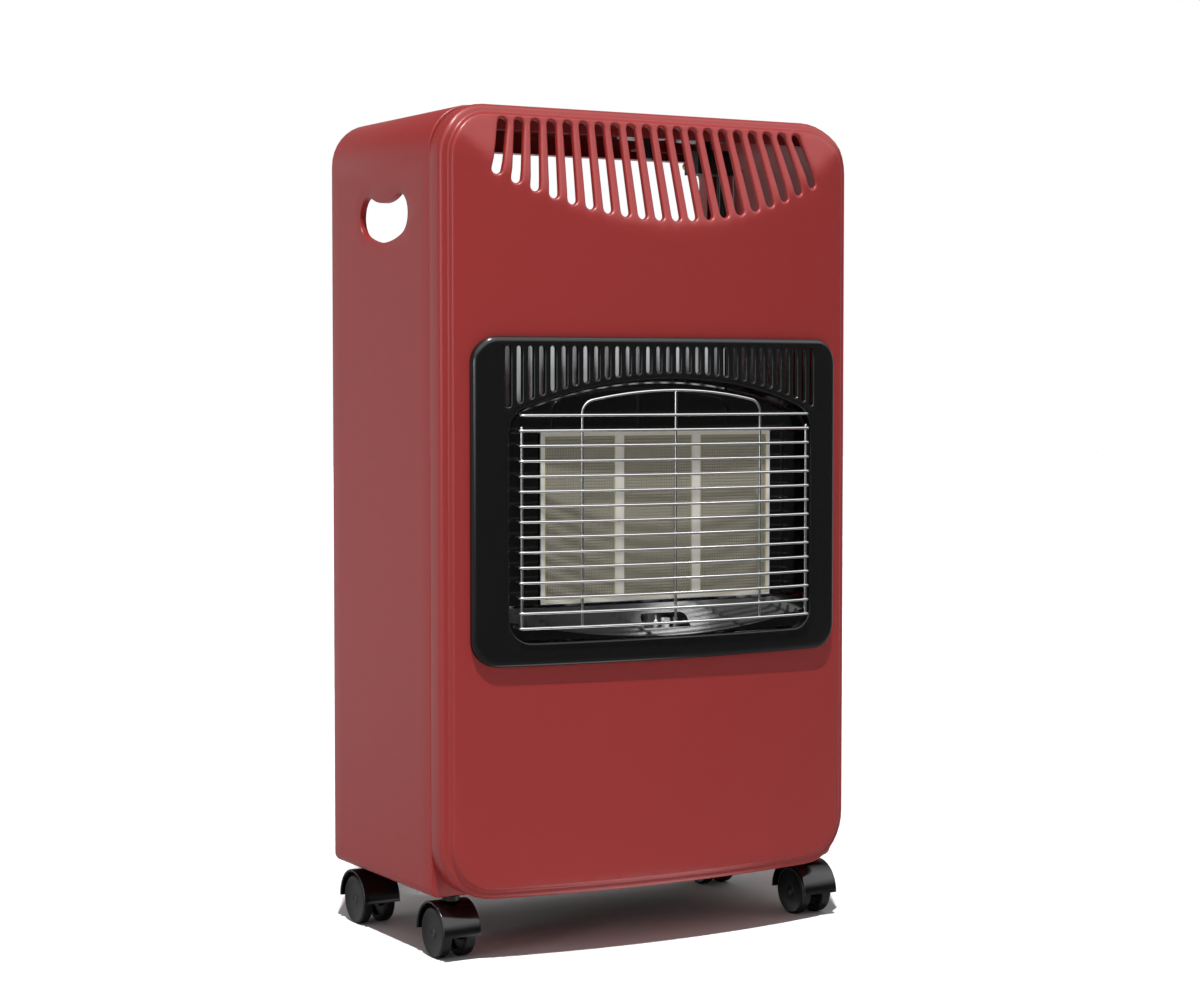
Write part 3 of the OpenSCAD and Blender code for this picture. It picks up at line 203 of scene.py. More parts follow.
# %% Lamps
def lamp(name, place, target, size, power, kind="AREA", tall=None, spread=180):
    """A lamp that points at a target: an area lamp, or a sun whose size is its angle in degrees."""
    data = bpy.data.lights.new(name, kind)
    if kind == "SUN":
        data.angle = math.radians(size)
    else:
        data.shape = "RECTANGLE"
        data.size = size
        data.size_y = tall or size
        data.spread = math.radians(spread)
    data.energy = power
    made = bpy.data.objects.new(name, data)
    bpy.context.scene.collection.objects.link(made)
    made.location = place
    made.rotation_mode = "QUATERNION"
    made.rotation_quaternion = (Vector(target) - Vector(place)).to_track_quat("-Z", "Y")


lamp("sun", (-0.52, -0.95, 3.0), (0, 0, 0), size=1.5, power=3.8, kind="SUN")
lamp("key", (-3.2, -1.2, 0.8), (0, 0, 0.4), size=0.6, power=8)
lamp("shield_glow", (0.01, -0.075, 0.515), (0.01, -0.06, 0.6), size=0.24, power=0.017, tall=0.015)
lamp("slope_glint", (0.27, -0.24, 0.705), (0.03, -0.11, 0.295), size=0.06, power=0.0022, spread=16)
bpy.context.scene.view_settings.view_transform = "Standard"

# %% [markdown]
# The floor is a big sheet of white paper. Mirrors see it graded like the sky, paler behind the heater than
# before it, with a small bright patch just in front that gives the panel's lower edge its thin light line.
# Light that bounces off the paper is dimmed a little, so that it doesn't wash out the front.

# %% Floor
floor_mesh = bpy.data.meshes.new("floor")
floor_half = 12
floor_corners = [(x * floor_half, y * floor_half, 0) for x, y in ((-1, -1), (1, -1), (1, 1), (-1, 1))]
floor_mesh.from_pydata(floor_corners, [], [(0, 1, 2, 3)])
floor = bpy.data.objects.new("floor", floor_mesh)
bpy.context.scene.collection.objects.link(floor)
floor_paint = finish_of("floor_paper", "#f6f6f6", 1.0, Specular_IOR_Level=0.0)
tree = floor_paint.node_tree
shader = tree.nodes["Principled BSDF"]
path = add(tree, "ShaderNodeLightPath")
bounce = add(tree, "ShaderNodeMapRange", {"Value": path.outputs["Is Diffuse Ray"], "To Min": 0.92,
                                          "To Max": 0.72})
sheet = add(tree, "ShaderNodeCombineXYZ", {0: bounce, 1: bounce, 2: bounce})
tree.links.new(sheet.outputs[0], shader.inputs["Base Color"])
where = add(tree, "ShaderNodeTexCoord")
axes = add(tree, "ShaderNodeSeparateXYZ", {0: where.outputs["Object"]})
deep = add(tree, "ShaderNodeMapRange", {"Value": axes.outputs["Y"], "From Min": -1.5, "From Max": 1.5,
                                        "To Min": 0.06, "To Max": 0.42})
patch = add(tree, "ShaderNodeVectorMath", {0: where.outputs["Object"], 1: (0.0, -0.17, 0.0)},
            operation="SUBTRACT")
patch = add(tree, "ShaderNodeVectorMath", {0: patch, 1: (0.5, 1.0, 1.0)}, operation="MULTIPLY")
patch = add(tree, "ShaderNodeVectorMath", {0: patch}, operation="LENGTH")
near = add(tree, "ShaderNodeMapRange", {"Value": patch.outputs["Value"], "From Min": 0.05, "From Max": 0.1,
                                        "To Min": 1.8, "To Max": 0.0})
grey = add(tree, "ShaderNodeCombineXYZ", {0: deep, 1: deep, 2: deep})
dim = add(tree, "ShaderNodeBsdfDiffuse", {"Color": grey})
glow = add(tree, "ShaderNodeEmission", {"Strength": near})
mirrored = add(tree, "ShaderNodeAddShader", {0: dim, 1: glow})
mixed = add(tree, "ShaderNodeMixShader", {0: path.outputs["Is Glossy Ray"], 1: shader, 2: mirrored})
tree.links.new(mixed.outputs[0], tree.nodes["Material Output"].inputs["Surface"])
floor_mesh.materials.append(floor_paint)

# %% [markdown]
# Powder coat on the cabinet: sprayed as a dry powder and baked, it flows out to a satin film with a faint
# orange peel a millimetre or two across. That gives soft, slightly broken highlights along every bend.

# %% Powder coat
powder_red = finish_of("powder_coat_red", "#932a29", 0.36, grain=(1.6, 0.012))

# %% [markdown]
# Stove enamel and glossy black paint: the surround is sprayed with a deep gloss, the sheets round the
# burner are vitreous enamel, which is glass fused to steel. Enamel is the shinier one and mirrors the guard
# in front of it. The base tray is only dipped and stays duller.

# %% Black enamels
black_gloss = finish_of("gloss_paint_black", "#121212", 0.16, grain=(2.0, 0.008), IOR=1.45)
black_enamel = finish_of("vitreous_enamel_black", "#070707", 0.12, grain=(6.0, 0.03), IOR=1.5)
tray_black = finish_of("dipped_paint_black", "#161616", 0.5, grain=(2.5, 0.02))

# %% [markdown]
# Plated and bare metals. Chrome on drawn wire is a near mirror; zinc on sheet steel shows crystals, called
# spangle, of five to ten millimetres; brass and turned steel keep fine tool or drawing marks that only dull
# the highlight at this distance. The heat shield is aluminised, which is paler and more even. The pipes, the
# valve, the pilot's bracket and the casters' stems are painted black and stay plain. Round the valve and the
# pipe, inside the cabinet, this black is also painted shade: it stands in for the shade that falls there.

# %% Metals
chrome = finish_of("chrome_plate", "#c8c8c8", 0.2, metallic=1.0)
zinc_sheet = finish_of("galvanised_sheet", "#b4b6b8", 0.42, metallic=0.85)
tree = zinc_sheet.node_tree
where = add(tree, "ShaderNodeTexCoord")
spangle = add(tree, "ShaderNodeTexVoronoi", {"Vector": where.outputs["Object"], "Scale": 1 / (9 * mm)})
tint = add(tree, "ShaderNodeMapRange", {"Value": spangle.outputs["Color"], "To Min": 0.36, "To Max": 0.52})
tree.links.new(tint.outputs[0], tree.nodes["Principled BSDF"].inputs["Roughness"])
steel_tube = finish_of("zinc_plated_steel", "#b9babb", 0.32, metallic=1.0, grain=(0.8, 0.004))
brass = finish_of("turned_brass", "#c09a4c", 0.28, metallic=1.0, grain=(0.6, 0.004))
aluminised = finish_of("aluminised_sheet", "#d6dde0", 0.6, grain=(1.2, 0.01))
# black paint, and painted shade round the valve and pipe inside the cabinet
black_paint_and_shade = finish_of("black_painted_steel_and_shade", "#0d0d0d", 0.4)

# %% [markdown]
# Ceramics and fibre. The frame is coated a pale heat-proof cream, the gaskets are pressed fibre, the
# plaques are unglazed cordierite, and the pilot's tips are glazed white.

# %% Ceramics and fibre
cream_coat = finish_of("heat_proof_cream", "#cfcdca", 0.5, grain=(1.0, 0.01))
fibre = finish_of("pressed_fibre", "#d3cbb2", 0.9, grain=(0.7, 0.15), detail=4.0)
cordierite = finish_of("cordierite_plaque", "#8f8b7c", 0.85, grain=(0.9, 0.04), detail=3.0)
glazed_white = finish_of("glazed_porcelain", "#f0eeea", 0.15)

# %% [markdown]
# Plastics. The casters are nylon: the hood has the mould's polish, the wheels are left satin. Knob and
# wells are a fine moulded texture, the igniter button is a smooth red. The lead's sleeve and the igniter's
# case hardly show and stay plain.

# %% Plastics
hood_nylon = finish_of("polished_nylon_black", "#08080a", 0.16, IOR=1.5)
wheel_nylon = finish_of("satin_nylon_black", "#141415", 0.4, grain=(1.2, 0.01))
knob_black = finish_of("moulded_black", "#111112", 0.42, grain=(0.9, 0.02))
button_red = finish_of("moulded_red", "#a81812", 0.2)
mark_white = finish_of("printed_white", "#e8e8e8", 0.5)
lead_sleeve = finish_of("silicone_sleeve", "#7a2a22", 0.55)
inner_dark = finish_of("moulded_igniter_case", "#202226", 0.4)
print("materials", len(bpy.data.materials))

# %% [markdown]
# Pressed sheet steel is drawn here as a skin made of rings. A ring is a closed row of points; two rings of
# equal length are joined by quads, which is how a rolled rim or a stepped edge gets its even highlight.
# What is left between rings, the plain face, is filled with a constrained Delaunay mesh: it keeps every
# ring's edges and adds grid points inside, so the face can follow the bow.

# %% Skin builder
class Skin:
    """Collects points and faces of one sheet, then makes an object of it."""

    def __init__(self):
        self.points = []
        self.faces = []

    def ring(self, points):
        """Adds points and returns their numbers."""
        first = len(self.points)
        self.points.extend(tuple(p) for p in points)
        return list(range(first, len(self.points)))

    def join(self, a, b, closed=True):
        """Quads between two rows of equal length."""
        count = len(a)
        for k in range(count if closed else count - 1):
            n = (k + 1) % count
            self.faces.append((a[k], a[n], b[n], b[k]))

    def rings(self, rows, closed=True):
        """Joins row after row and returns the rows' numbers."""
        numbered = [self.ring(row) for row in rows]
        for a, b in zip(numbered, numbered[1:]):
            self.join(a, b, closed)
        return numbered

    def cap(self, rows):
        """Closes the first and the last row with a face each."""
        self.faces.append(tuple(rows[0]))
        self.faces.append(tuple(reversed(rows[-1])))

    def fill(self, outer, holes, flat, place, step):
        """Fills between a ring and its holes. flat gives a point's place on the sheet, place undoes it."""
        loops = [outer] + holes
        flats = [[flat(self.points[k]) for k in loop] for loop in loops]
        edge = np.array([p for row in flats for p in row])
        low, high = edge.min(0), edge.max(0)
        counts = np.maximum(((high - low) / step).astype(int), 1)
        grid = np.stack(np.meshgrid(np.linspace(low[0], high[0], counts[0] + 1),
                                    np.linspace(low[1], high[1], counts[1] + 1)), -1).reshape(-1, 2)
        # grid points close to an edge are left out, because they would make slivers
        near = np.array([np.min(np.sum((edge - g) ** 2, 1)) for g in grid])
        grid = grid[near > (0.45 * step) ** 2]
        grid = grid[inside(grid, flats[0])]
        for hole in flats[1:]:
            grid = grid[~inside(grid, hole)]
        start, edges, ids = 0, [], []
        for loop in loops:
            count = len(loop)
            edges += [(start + k, start + (k + 1) % count) for k in range(count)]
            ids += loop
            start += count
        ids += self.ring([place(*g) for g in grid])
        cloud = [Vector(p) for p in edge] + [Vector(g) for g in grid]
        out = geometry.delaunay_2d_cdt(cloud, edges, [], 0, 1e-7)
        ids = [ids[made_from[0]] if made_from else self.ring([place(*spot)])[0]
               for spot, made_from in zip(out[0], out[3])]
        middles = np.array([sum((out[0][k] for k in face), Vector((0, 0))) / len(face) for face in out[2]])
        keep = inside(middles, flats[0])
        for hole in flats[1:]:
            keep &= ~inside(middles, hole)
        for face, kept in zip(out[2], keep):
            if kept:
                self.faces.append(tuple(ids[k] for k in face))

    def build(self, name, material, thickness=0.0, corner=38.0, outward=None):
        """Makes the object; thickness grows inwards, and edges sharper than corner degrees stay crisp."""
        mesh = bpy.data.meshes.new(name)
        mesh.from_pydata(self.points, [], self.faces)
        mesh.validate()
        return dress(mesh, name, material, thickness, corner, outward)


def inside(places, loop):
    """Which of the places lie inside a closed loop, by counting crossings."""
    loop = np.asarray(loop)
    result = np.zeros(len(places), bool)
    for a, b in zip(loop, np.roll(loop, -1, 0)):
        crosses = (a[1] > places[:, 1]) != (b[1] > places[:, 1])
        if crosses.any():
            x = a[0] + (places[:, 1] - a[1]) / (b[1] - a[1] + 1e-30) * (b[0] - a[0])
            result ^= crosses & (places[:, 0] < x)
    return result


def dress(mesh, name, material, thickness=0.0, corner=38.0, outward=None):
    """Makes a shaded object of a mesh; outward is a point and the way that the skin there should face."""
    work = bmesh.new()
    work.from_mesh(mesh)
    bmesh.ops.remove_doubles(work, verts=work.verts, dist=1e-6)
    bmesh.ops.recalc_face_normals(work, faces=work.faces)
    if outward:
        spot, way = Vector(outward[0]), Vector(outward[1])
        nearest = min(work.faces, key=lambda f: (f.calc_center_median() - spot).length)
        if nearest.normal.dot(way) < 0:
            bmesh.ops.reverse_faces(work, faces=work.faces)
    for face in work.faces:
        face.smooth = True
    work.to_mesh(mesh)
    work.free()
    made = bpy.data.objects.new(name, mesh)
    bpy.context.scene.collection.objects.link(made)
    mesh.materials.append(material)
    if thickness:
        shell = made.modifiers.new("thickness", "SOLIDIFY")
        shell.thickness = thickness
        shell.offset = -1
    split = made.modifiers.new("crisp_edges", "EDGE_SPLIT")
    split.split_angle = math.radians(corner)
    return made


# %% [markdown]
# Three outlines come back again and again: a box with rounded corners, a slot with round ends, and the arch
# over the burner. Each is a function of g, the distance that the outline is grown, so that rims can be
# drawn as the same outline at several sizes.

# %% Outlines
def middle_of(low, high):
    """Middle of a box, seen from above."""
    return (low.x + high.x) / 2, (low.y + high.y) / 2


def circle(sides):
    """Angles all the way round."""
    return [2 * math.pi * k / sides for k in range(sides)]


def arc(cx, cz, r, start, end, count):
    """Points of an arc, in degrees, ends included."""
    return [(cx + r * math.cos(math.radians(a)), cz + r * math.sin(math.radians(a)))
            for a in np.linspace(start, end, count)]


def between(a, b, parts):
    """Points that cut a straight stretch into equal parts, ends left out."""
    return [(a[0] + (b[0] - a[0]) * j / parts, a[1] + (b[1] - a[1]) * j / parts) for j in range(1, parts)]


def rounded_box(x0, x1, z0, z1, r_low, r_top, g=0.0, step=9 * mm, count=10):
    """Outline of a box with rounded corners, grown by g; the number of points doesn't depend on g."""
    sharp = 0.2 * mm
    low, top = max(r_low + g, sharp), max(r_top + g, sharp)
    corners = [(x1 + g - low, z0 - g + low, low, -90), (x1 + g - top, z1 + g - top, top, 0),
               (x0 - g + top, z1 + g - top, top, 90), (x0 - g + low, z0 - g + low, low, 180)]
    turned = [arc(cx, cz, r, a, a + 90, count) for cx, cz, r, a in corners]
    lengths = [z1 - z0 - r_low - r_top, x1 - x0 - 2 * r_top, z1 - z0 - r_low - r_top, x1 - x0 - 2 * r_low]
    points = []
    for k in range(4):
        points += turned[k]
        points += between(turned[k][-1], turned[(k + 1) % 4][0], max(int(lengths[k] / step), 1))
    return points


def slot_outline(a, b, width, g=0.0, step=7 * mm, count=9):
    """Outline of a slot from a to b with round ends, grown by g."""
    r = width / 2 + g
    lean = math.degrees(math.atan2(b[1] - a[1], b[0] - a[0]))
    upper = arc(b[0], b[1], r, lean - 90, lean + 90, count)
    lower = arc(a[0], a[1], r, lean + 90, lean + 270, count)
    parts = max(int(math.dist(a, b) / step), 1)
    points = []
    for turned, after in ((upper, lower[0]), (lower, upper[0])):
        points += turned + between(turned[-1], after, parts)
    return points


# %% [markdown]
# ## The front panel
# It is one pressing: a flange all round, a rounded edge up to a narrow step, a second rounded edge up to
# the bowed face, and a leaning facet near the top that carries the fanned vents. Every vent has a rim that
# is rolled inwards. The face is the further back of two surfaces, the bow and the facet, with a soft crease
# where they meet. The hem curls in at the seam, which leaves the dark groove beside the casing.

# %% Face of the panel
facet_d = 20.3 * mm
facet_lean = math.radians(17.2)
crease = 2.2 * mm
panel_corner_r = 46 * mm


def panel_depth(x, z):
    """Depth of the panel's main face at a place in the front view."""
    bow = bow_at(bow_r, x)
    facet = seam_y - facet_d - (top_z - z) * math.tan(facet_lean)
    blend = max(crease - abs(bow - facet), 0) / crease
    return max(bow, facet) + blend * blend * crease / 4


# %% Vents
vent_n = 20
vent_w = 9 * mm
vent_pitch_top, vent_pitch_low = 15.94 * mm, 17.05 * mm
vent_top_gap, vent_mid_len, vent_arc_r = 17 * mm, 75.5 * mm, 385 * mm


def vent_ends(i):
    """Lower and upper end centres of a vent."""
    place = i - (vent_n - 1) / 2
    high = (place * vent_pitch_top, top_z - vent_top_gap)
    low_x = place * vent_pitch_low
    low = (low_x, high[1] - vent_mid_len + vent_arc_r - math.sqrt(vent_arc_r ** 2 - low_x ** 2))
    return low, high


def sunk(outline, depth):
    """Lifts an outline to the panel's face, then sinks it by depth."""
    return [(x, panel_depth(x, z) + depth, z) for x, z in outline]


# %% Front panel skin
def panel_outline(inset):
    return rounded_box(-half_w, half_w, panel_low.z, top_z, panel_corner_r, panel_corner_r, -inset)


step_h = 4.5 * mm
edge_r = 4 * mm
skin = Skin()
hem_profile = ((2.2, 0.0), (1.0, 0.45), (0.25, 1.0), (0.0, 1.9))
hem_d = 4 * mm
edge_rows = [[(x, seam_y - ahead * mm, z) for x, z in panel_outline(inset * mm)]
             for inset, ahead in hem_profile]
edge_rows.append(sunk(panel_outline(0), step_h + edge_r + hem_d))
for angle in (0, 15, 30, 45, 60, 75, 90):
    a = math.radians(angle)
    edge_rows.append(sunk(panel_outline(edge_r * (1 - math.cos(a))), step_h + edge_r * (1 - math.sin(a))))
step_profile = ((5.6, 4.5), (6.6, 4.45), (7.3, 4.1), (7.8, 3.4), (8.2, 2.5), (8.6, 1.6), (9.1, 0.8),
                (9.8, 0.25), (10.7, 0.0))
for inset, depth in step_profile:
    edge_rows.append(sunk(panel_outline(inset * mm), depth * mm))
edge_rings = skin.rings(edge_rows)

rim_profile = ((2.6, 0.0), (1.9, 0.12), (1.2, 0.42), (0.6, 0.95), (0.15, 1.8), (0.0, 2.8), (0.0, 4.6))
vent_rims = []
for i in range(vent_n):
    low, high = vent_ends(i)
    rows = skin.rings([sunk(slot_outline(low, high, vent_w, g * mm), depth * mm) for g, depth in rim_profile])
    vent_rims.append(rows[0])

rim_w = 5 * mm
cut_r = 18 * mm
cut = rounded_box(bezel_low.x + rim_w, bezel_high.x - rim_w, bezel_low.z + rim_w, bezel_high.z - rim_w,
                  cut_r, cut_r)
cut_ring = skin.ring(sunk(cut, 0))
skin.fill(edge_rings[-1], vent_rims + [cut_ring], lambda p: (p[0], p[2]),
          lambda x, z: (x, panel_depth(x, z), z), step=7 * mm)
panel = skin.build("pressed_front_panel", powder_red, sheet_t, outward=((0, face_y, 0.2), (0, -1, 0)))
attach(panel, "cabinet")
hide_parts("front_panel")
print("front panel faces", len(panel.data.polygons))

# %% [markdown]
# ## The casing
# One sheet is folded into left wall, top and right wall, with flanges turned in at the front, the back and
# the bottom. The skin follows the casing's outline from the front flange, round the fold, along the walls,
# and into the back flange with its return. Four flat stretches have openings and are filled separately:
# both walls with their finger holes, the top with the wells and the bottom with its large cut-out.

# %% Outline of the casing
casing_top_r, casing_low_r = 40 * mm, 8 * mm
fold_r = 1.4 * mm
corner_count = 10
casing_step = 16 * mm


def casing_outline(inset):
    return rounded_box(-half_w, half_w, base_z, top_z, casing_low_r, casing_top_r, -inset, count=corner_count)


def casing_row(inset, y):
    return [(x, y, z) for x, z in casing_outline(inset)]


def stretch_at(axis, value):
    """Numbers of the outline's points on one of its four straight stretches, in order."""
    outline = casing_outline(0)
    on = [k for k, p in enumerate(outline) if abs(p[axis] - value) < 1e-6]
    breaks = [k for k in range(len(on)) if on[k] - on[k - 1] != 1]
    return on[breaks[-1]:] + on[:breaks[-1]] if len(breaks) > 1 else on


# %% Handle holes
handle_low = base_z + 570 * mm
handle_y = back_y - 113 * mm
handle_low_r, handle_dip_r, handle_end_r = 110 * mm, 63.5 * mm, 18.5 * mm
handle_gap, handle_end_up = 35 * mm, 24 * mm


def handle_outline(g=0.0):
    """Smile-shaped hole as (y, z) points: a low arc, two round ends and a finger dip in the upper edge."""
    arc_z = handle_low + handle_low_r
    end_z = handle_low + handle_end_up
    reach = handle_low_r - handle_end_r
    end_y = math.sqrt(reach ** 2 - (arc_z - end_z) ** 2)
    dip_z = handle_low + handle_gap + handle_dip_r
    low_lean = math.degrees(math.atan2(end_y, arc_z - end_z))
    shape = arc(handle_y, arc_z, handle_low_r + g, 270 - low_lean, 270 + low_lean, 25)
    up = end_z + handle_end_r
    dip_half = math.sqrt(max(handle_dip_r ** 2 - (dip_z - up) ** 2, 0))
    dip_lean = math.degrees(math.asin(dip_half / handle_dip_r))
    shape += arc(handle_y + end_y, end_z, handle_end_r + g, low_lean - 90, 90, 12)[1:]
    shape += arc(handle_y, dip_z, handle_dip_r - g, 270 + dip_lean, 270 - dip_lean, 17)
    shape += arc(handle_y - end_y, end_z, handle_end_r + g, 90, 270 - low_lean, 12)[:-1]
    return shape


# %% Casing skin
back_flange_w, back_return_d = 20.5 * mm, 16 * mm
seam_flange_w, base_flange_w = 20 * mm, 52 * mm
fold_angles = [math.radians(a) for a in (0, 22, 45, 67, 90)]
profile = [(seam_flange_w, seam_y)]
profile += [(fold_r * (1 - math.sin(a)), seam_y + fold_r * (1 - math.cos(a))) for a in fold_angles]
front_row = len(profile) - 1
profile += [(fold_r * (1 - math.sin(a)), back_y - fold_r * (1 - math.cos(a))) for a in reversed(fold_angles)]
profile += [(back_flange_w - fold_r, back_y)]
profile += [(back_flange_w - fold_r + fold_r * math.sin(a), back_y - fold_r * (1 - math.cos(a)))
            for a in fold_angles[1:]]
profile += [(back_flange_w, back_y - back_return_d)]

skin = Skin()
rows = [skin.ring(casing_row(inset, y)) for inset, y in profile]
for k in range(len(rows) - 1):
    if k != front_row:
        skin.join(rows[k], rows[k + 1])
stretches = {"right": stretch_at(0, half_w), "top": stretch_at(1, top_z), "left": stretch_at(0, -half_w),
             "bottom": stretch_at(1, base_z)}
front, back = rows[front_row], rows[front_row + 1]
count = len(front)
flat_steps = {(on[k], on[k + 1]) for on in stretches.values() for k in range(len(on) - 1)}
for k in range(count):
    n = (k + 1) % count
    if (k, n) not in flat_steps:
        skin.faces.append((front[k], front[n], back[n], back[k]))


def border(on):
    return [front[k] for k in on] + [back[k] for k in reversed(on)]


hole_profile = ((0.5, 0.0), (0.2, 0.08), (0.05, 0.3), (0.0, 0.8), (0.0, 6.0))
for name, side in (("left", -1), ("right", 1)):
    rims = skin.rings([[(side * (half_w - depth * mm), y, z) for y, z in handle_outline(g * mm)]
                       for g, depth in hole_profile])
    skin.fill(border(stretches[name]), [rims[0]], lambda p: (p[1], p[2]),
              lambda y, z, x=side * half_w: (x, y, z), step=casing_step)

console_low, console_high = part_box("control_console")
rim_over = 5 * mm
well_r = (console_high.y - console_low.y) / 2 - rim_over
control_y = (console_low.y + console_high.y) / 2
button_x, knob_x = console_low.x + well_r + rim_over, console_high.x - well_r - rim_over
well_gap = 0.3 * mm
well_holes = [skin.ring([(x, y, top_z) for x, y in arc(cx, control_y, well_r + well_gap, 0, 352.5, 48)])
              for cx in (button_x, knob_x)]
skin.fill(border(stretches["top"]), well_holes, lambda p: (p[0], p[1]), lambda x, y: (x, y, top_z),
          step=casing_step)
opening_r = 6 * mm
opening = [(x, y, base_z) for x, y in rounded_box(base_flange_w - half_w, half_w - base_flange_w,
                                                  seam_y + seam_flange_w, back_y - back_flange_w,
                                                  opening_r, opening_r)]
skin.fill(border(stretches["bottom"]), [skin.ring(opening)], lambda p: (p[0], p[1]),
          lambda x, y: (x, y, base_z), step=casing_step)
casing = skin.build("folded_casing", powder_red, sheet_t, outward=((-half_w, 0, 0.3), (-1, 0, 0)))
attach(casing, "cabinet")
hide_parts("cabinet_casing")
print("casing faces", len(casing.data.polygons))

# %% [markdown]
# ## The burner surround
# A second pressing that stands seven millimetres proud of the panel. Its outer edge is rolled over in a
# soft quarter ellipse, thirty-two slots cool it above the arch, and the arched opening has a collar that
# turns in towards the burner. It follows the same bow as the panel, only a little larger.

# %% Shape of the surround
bezel_proud = face_y - bezel_low.y
slot_n, slot_w, slot_pitch = 32, 5 * mm, 10.08 * mm
slot_land, slot_top_gap = 5.5 * mm, 8 * mm
mouth_half, mouth_low, mouth_low_r = 155.3 * mm, bezel_low.z + 20.5 * mm, 20 * mm
arch_r, arch_corner_r = 415 * mm, 25 * mm
mouth_h = 227 * mm
arch_z = mouth_low + mouth_h - arch_r
arch_lean = math.acos((mouth_half - arch_corner_r) / (arch_r - arch_corner_r))
arch_side_z = arch_z + (arch_r - arch_corner_r) * math.sin(arch_lean)


def mouth_outline(g=0.0):
    """The arched opening, grown by g."""
    lean = math.degrees(arch_lean)
    side = mouth_half - arch_corner_r
    low = mouth_half - mouth_low_r
    turns = [arc(side, arch_side_z, arch_corner_r + g, 0, lean, 8),
             arc(0, arch_z, arch_r + g, lean, 180 - lean, 40)[1:-1],
             arc(-side, arch_side_z, arch_corner_r + g, 180 - lean, 180, 8),
             arc(-low, mouth_low + mouth_low_r, mouth_low_r + g, 180, 270, 10),
             arc(low, mouth_low + mouth_low_r, mouth_low_r + g, 270, 360, 10)]
    stretch = {2: 15, 3: 32, 4: 15}
    points = []
    for k, turned in enumerate(turns):
        points += turned
        if k in stretch:
            points += between(turned[-1], turns[(k + 1) % 5][0], stretch[k])
    return points


def bezel_sunk(outline, depth):
    """Lifts an outline to the surround's face, then sinks it by depth."""
    return [(x, bow_at(bow_r + bezel_proud, x) + depth, z) for x, z in outline]


# %% Surround skin
bezel_corner_r, roll_w, roll_d = 23 * mm, 5 * mm, 4 * mm


def bezel_outline(inset):
    return rounded_box(bezel_low.x, bezel_high.x, bezel_low.z, bezel_high.z, bezel_corner_r, bezel_corner_r,
                       -inset)


skin = Skin()
bezel_side_d = 6.6 * mm
rows = [bezel_sunk(bezel_outline(0), bezel_side_d)]
for angle in np.linspace(0, 90, 9):
    a = math.radians(angle)
    rows.append(bezel_sunk(bezel_outline(roll_w * (1 - math.cos(a))), roll_d * (1 - math.sin(a))))
rows.append(bezel_sunk(bezel_outline(roll_w + 0.6 * mm), 0))
outer_rings = skin.rings(rows)
lip_profile = ((1.9, 0.0), (1.3, 0.1), (0.7, 0.38), (0.25, 0.9), (0.0, 1.8), (0.0, 9.9))
mouth_rings = skin.rings([bezel_sunk(mouth_outline(g * mm), depth * mm) for g, depth in lip_profile])
slot_profile = ((1.1, 0.0), (0.7, 0.1), (0.3, 0.4), (0.0, 1.1), (0.0, 4.0))
slot_rims = []
for i in range(slot_n):
    x = (i - (slot_n - 1) / 2) * slot_pitch
    low = (x, arch_z + math.sqrt((arch_r + slot_land + slot_w / 2) ** 2 - x * x))
    high = (x, bezel_high.z - slot_top_gap - slot_w / 2)
    rims = skin.rings([bezel_sunk(slot_outline(low, high, slot_w, g * mm), d * mm) for g, d in slot_profile])
    slot_rims.append(rims[0])
skin.fill(outer_rings[-1], slot_rims + [mouth_rings[0]], lambda p: (p[0], p[2]),
          lambda x, z: (x, bow_at(bow_r + bezel_proud, x), z), step=9 * mm)
surround = skin.build("pressed_surround", black_gloss, 1.2 * mm,
                      outward=((0, bezel_low.y, bezel_low.z + 10 * mm), (0, -1, 0)))
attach(surround, "cabinet")
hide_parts("burner_surround")
print("surround faces", len(surround.data.polygons))

# %% [markdown]
# Between the arch and the upper reflector the gap is dark on the real heater, because it lies in shade. A
# short black skirt closes it here: a dark sheet put where there is shade, so its black is painted shade. It
# could be a bent plate, but a strip swept along the arch's own outline fits the collar all round.

# %% Dark skirt between the arch and the upper reflector, painted shade
top_low, top_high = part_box("reflector_top")
arch_end = 54  # the outline starts with the two upper corners and the arch between them
front_d, lap, gap = 9.4 * mm, 0.3 * mm, 1 * mm
reach_in = 2.6 * mm
rows = [bezel_sunk(mouth_outline(lap)[:arch_end], front_d),
        [(x, top_low.y - gap, z) for x, z in mouth_outline(-reach_in)[:arch_end]]]
skin = Skin()
skin.rings(rows, closed=False)
# the skirt's black stands in for the shade in the gap: painted shade
skirt = skin.build("arch_skirt", black_enamel, 0.6 * mm, outward=((0, top_low.y, top_high.z), (0, 0, -1)))
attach(skirt, "cabinet")
print("skirt", len(skirt.data.polygons))

# %% [markdown]
# ## The wire guard
# Straightened wire is cut, bowed and resistance-welded: fifteen level wires in front, their ends turned
# back into the surround's collar, and three straight uprights behind. The legs of the arched wire make two
# more. Each wire is swept as a round tube with a ring of sixteen points, and each crossing gets the small
# squeezed bead that a spot weld leaves.

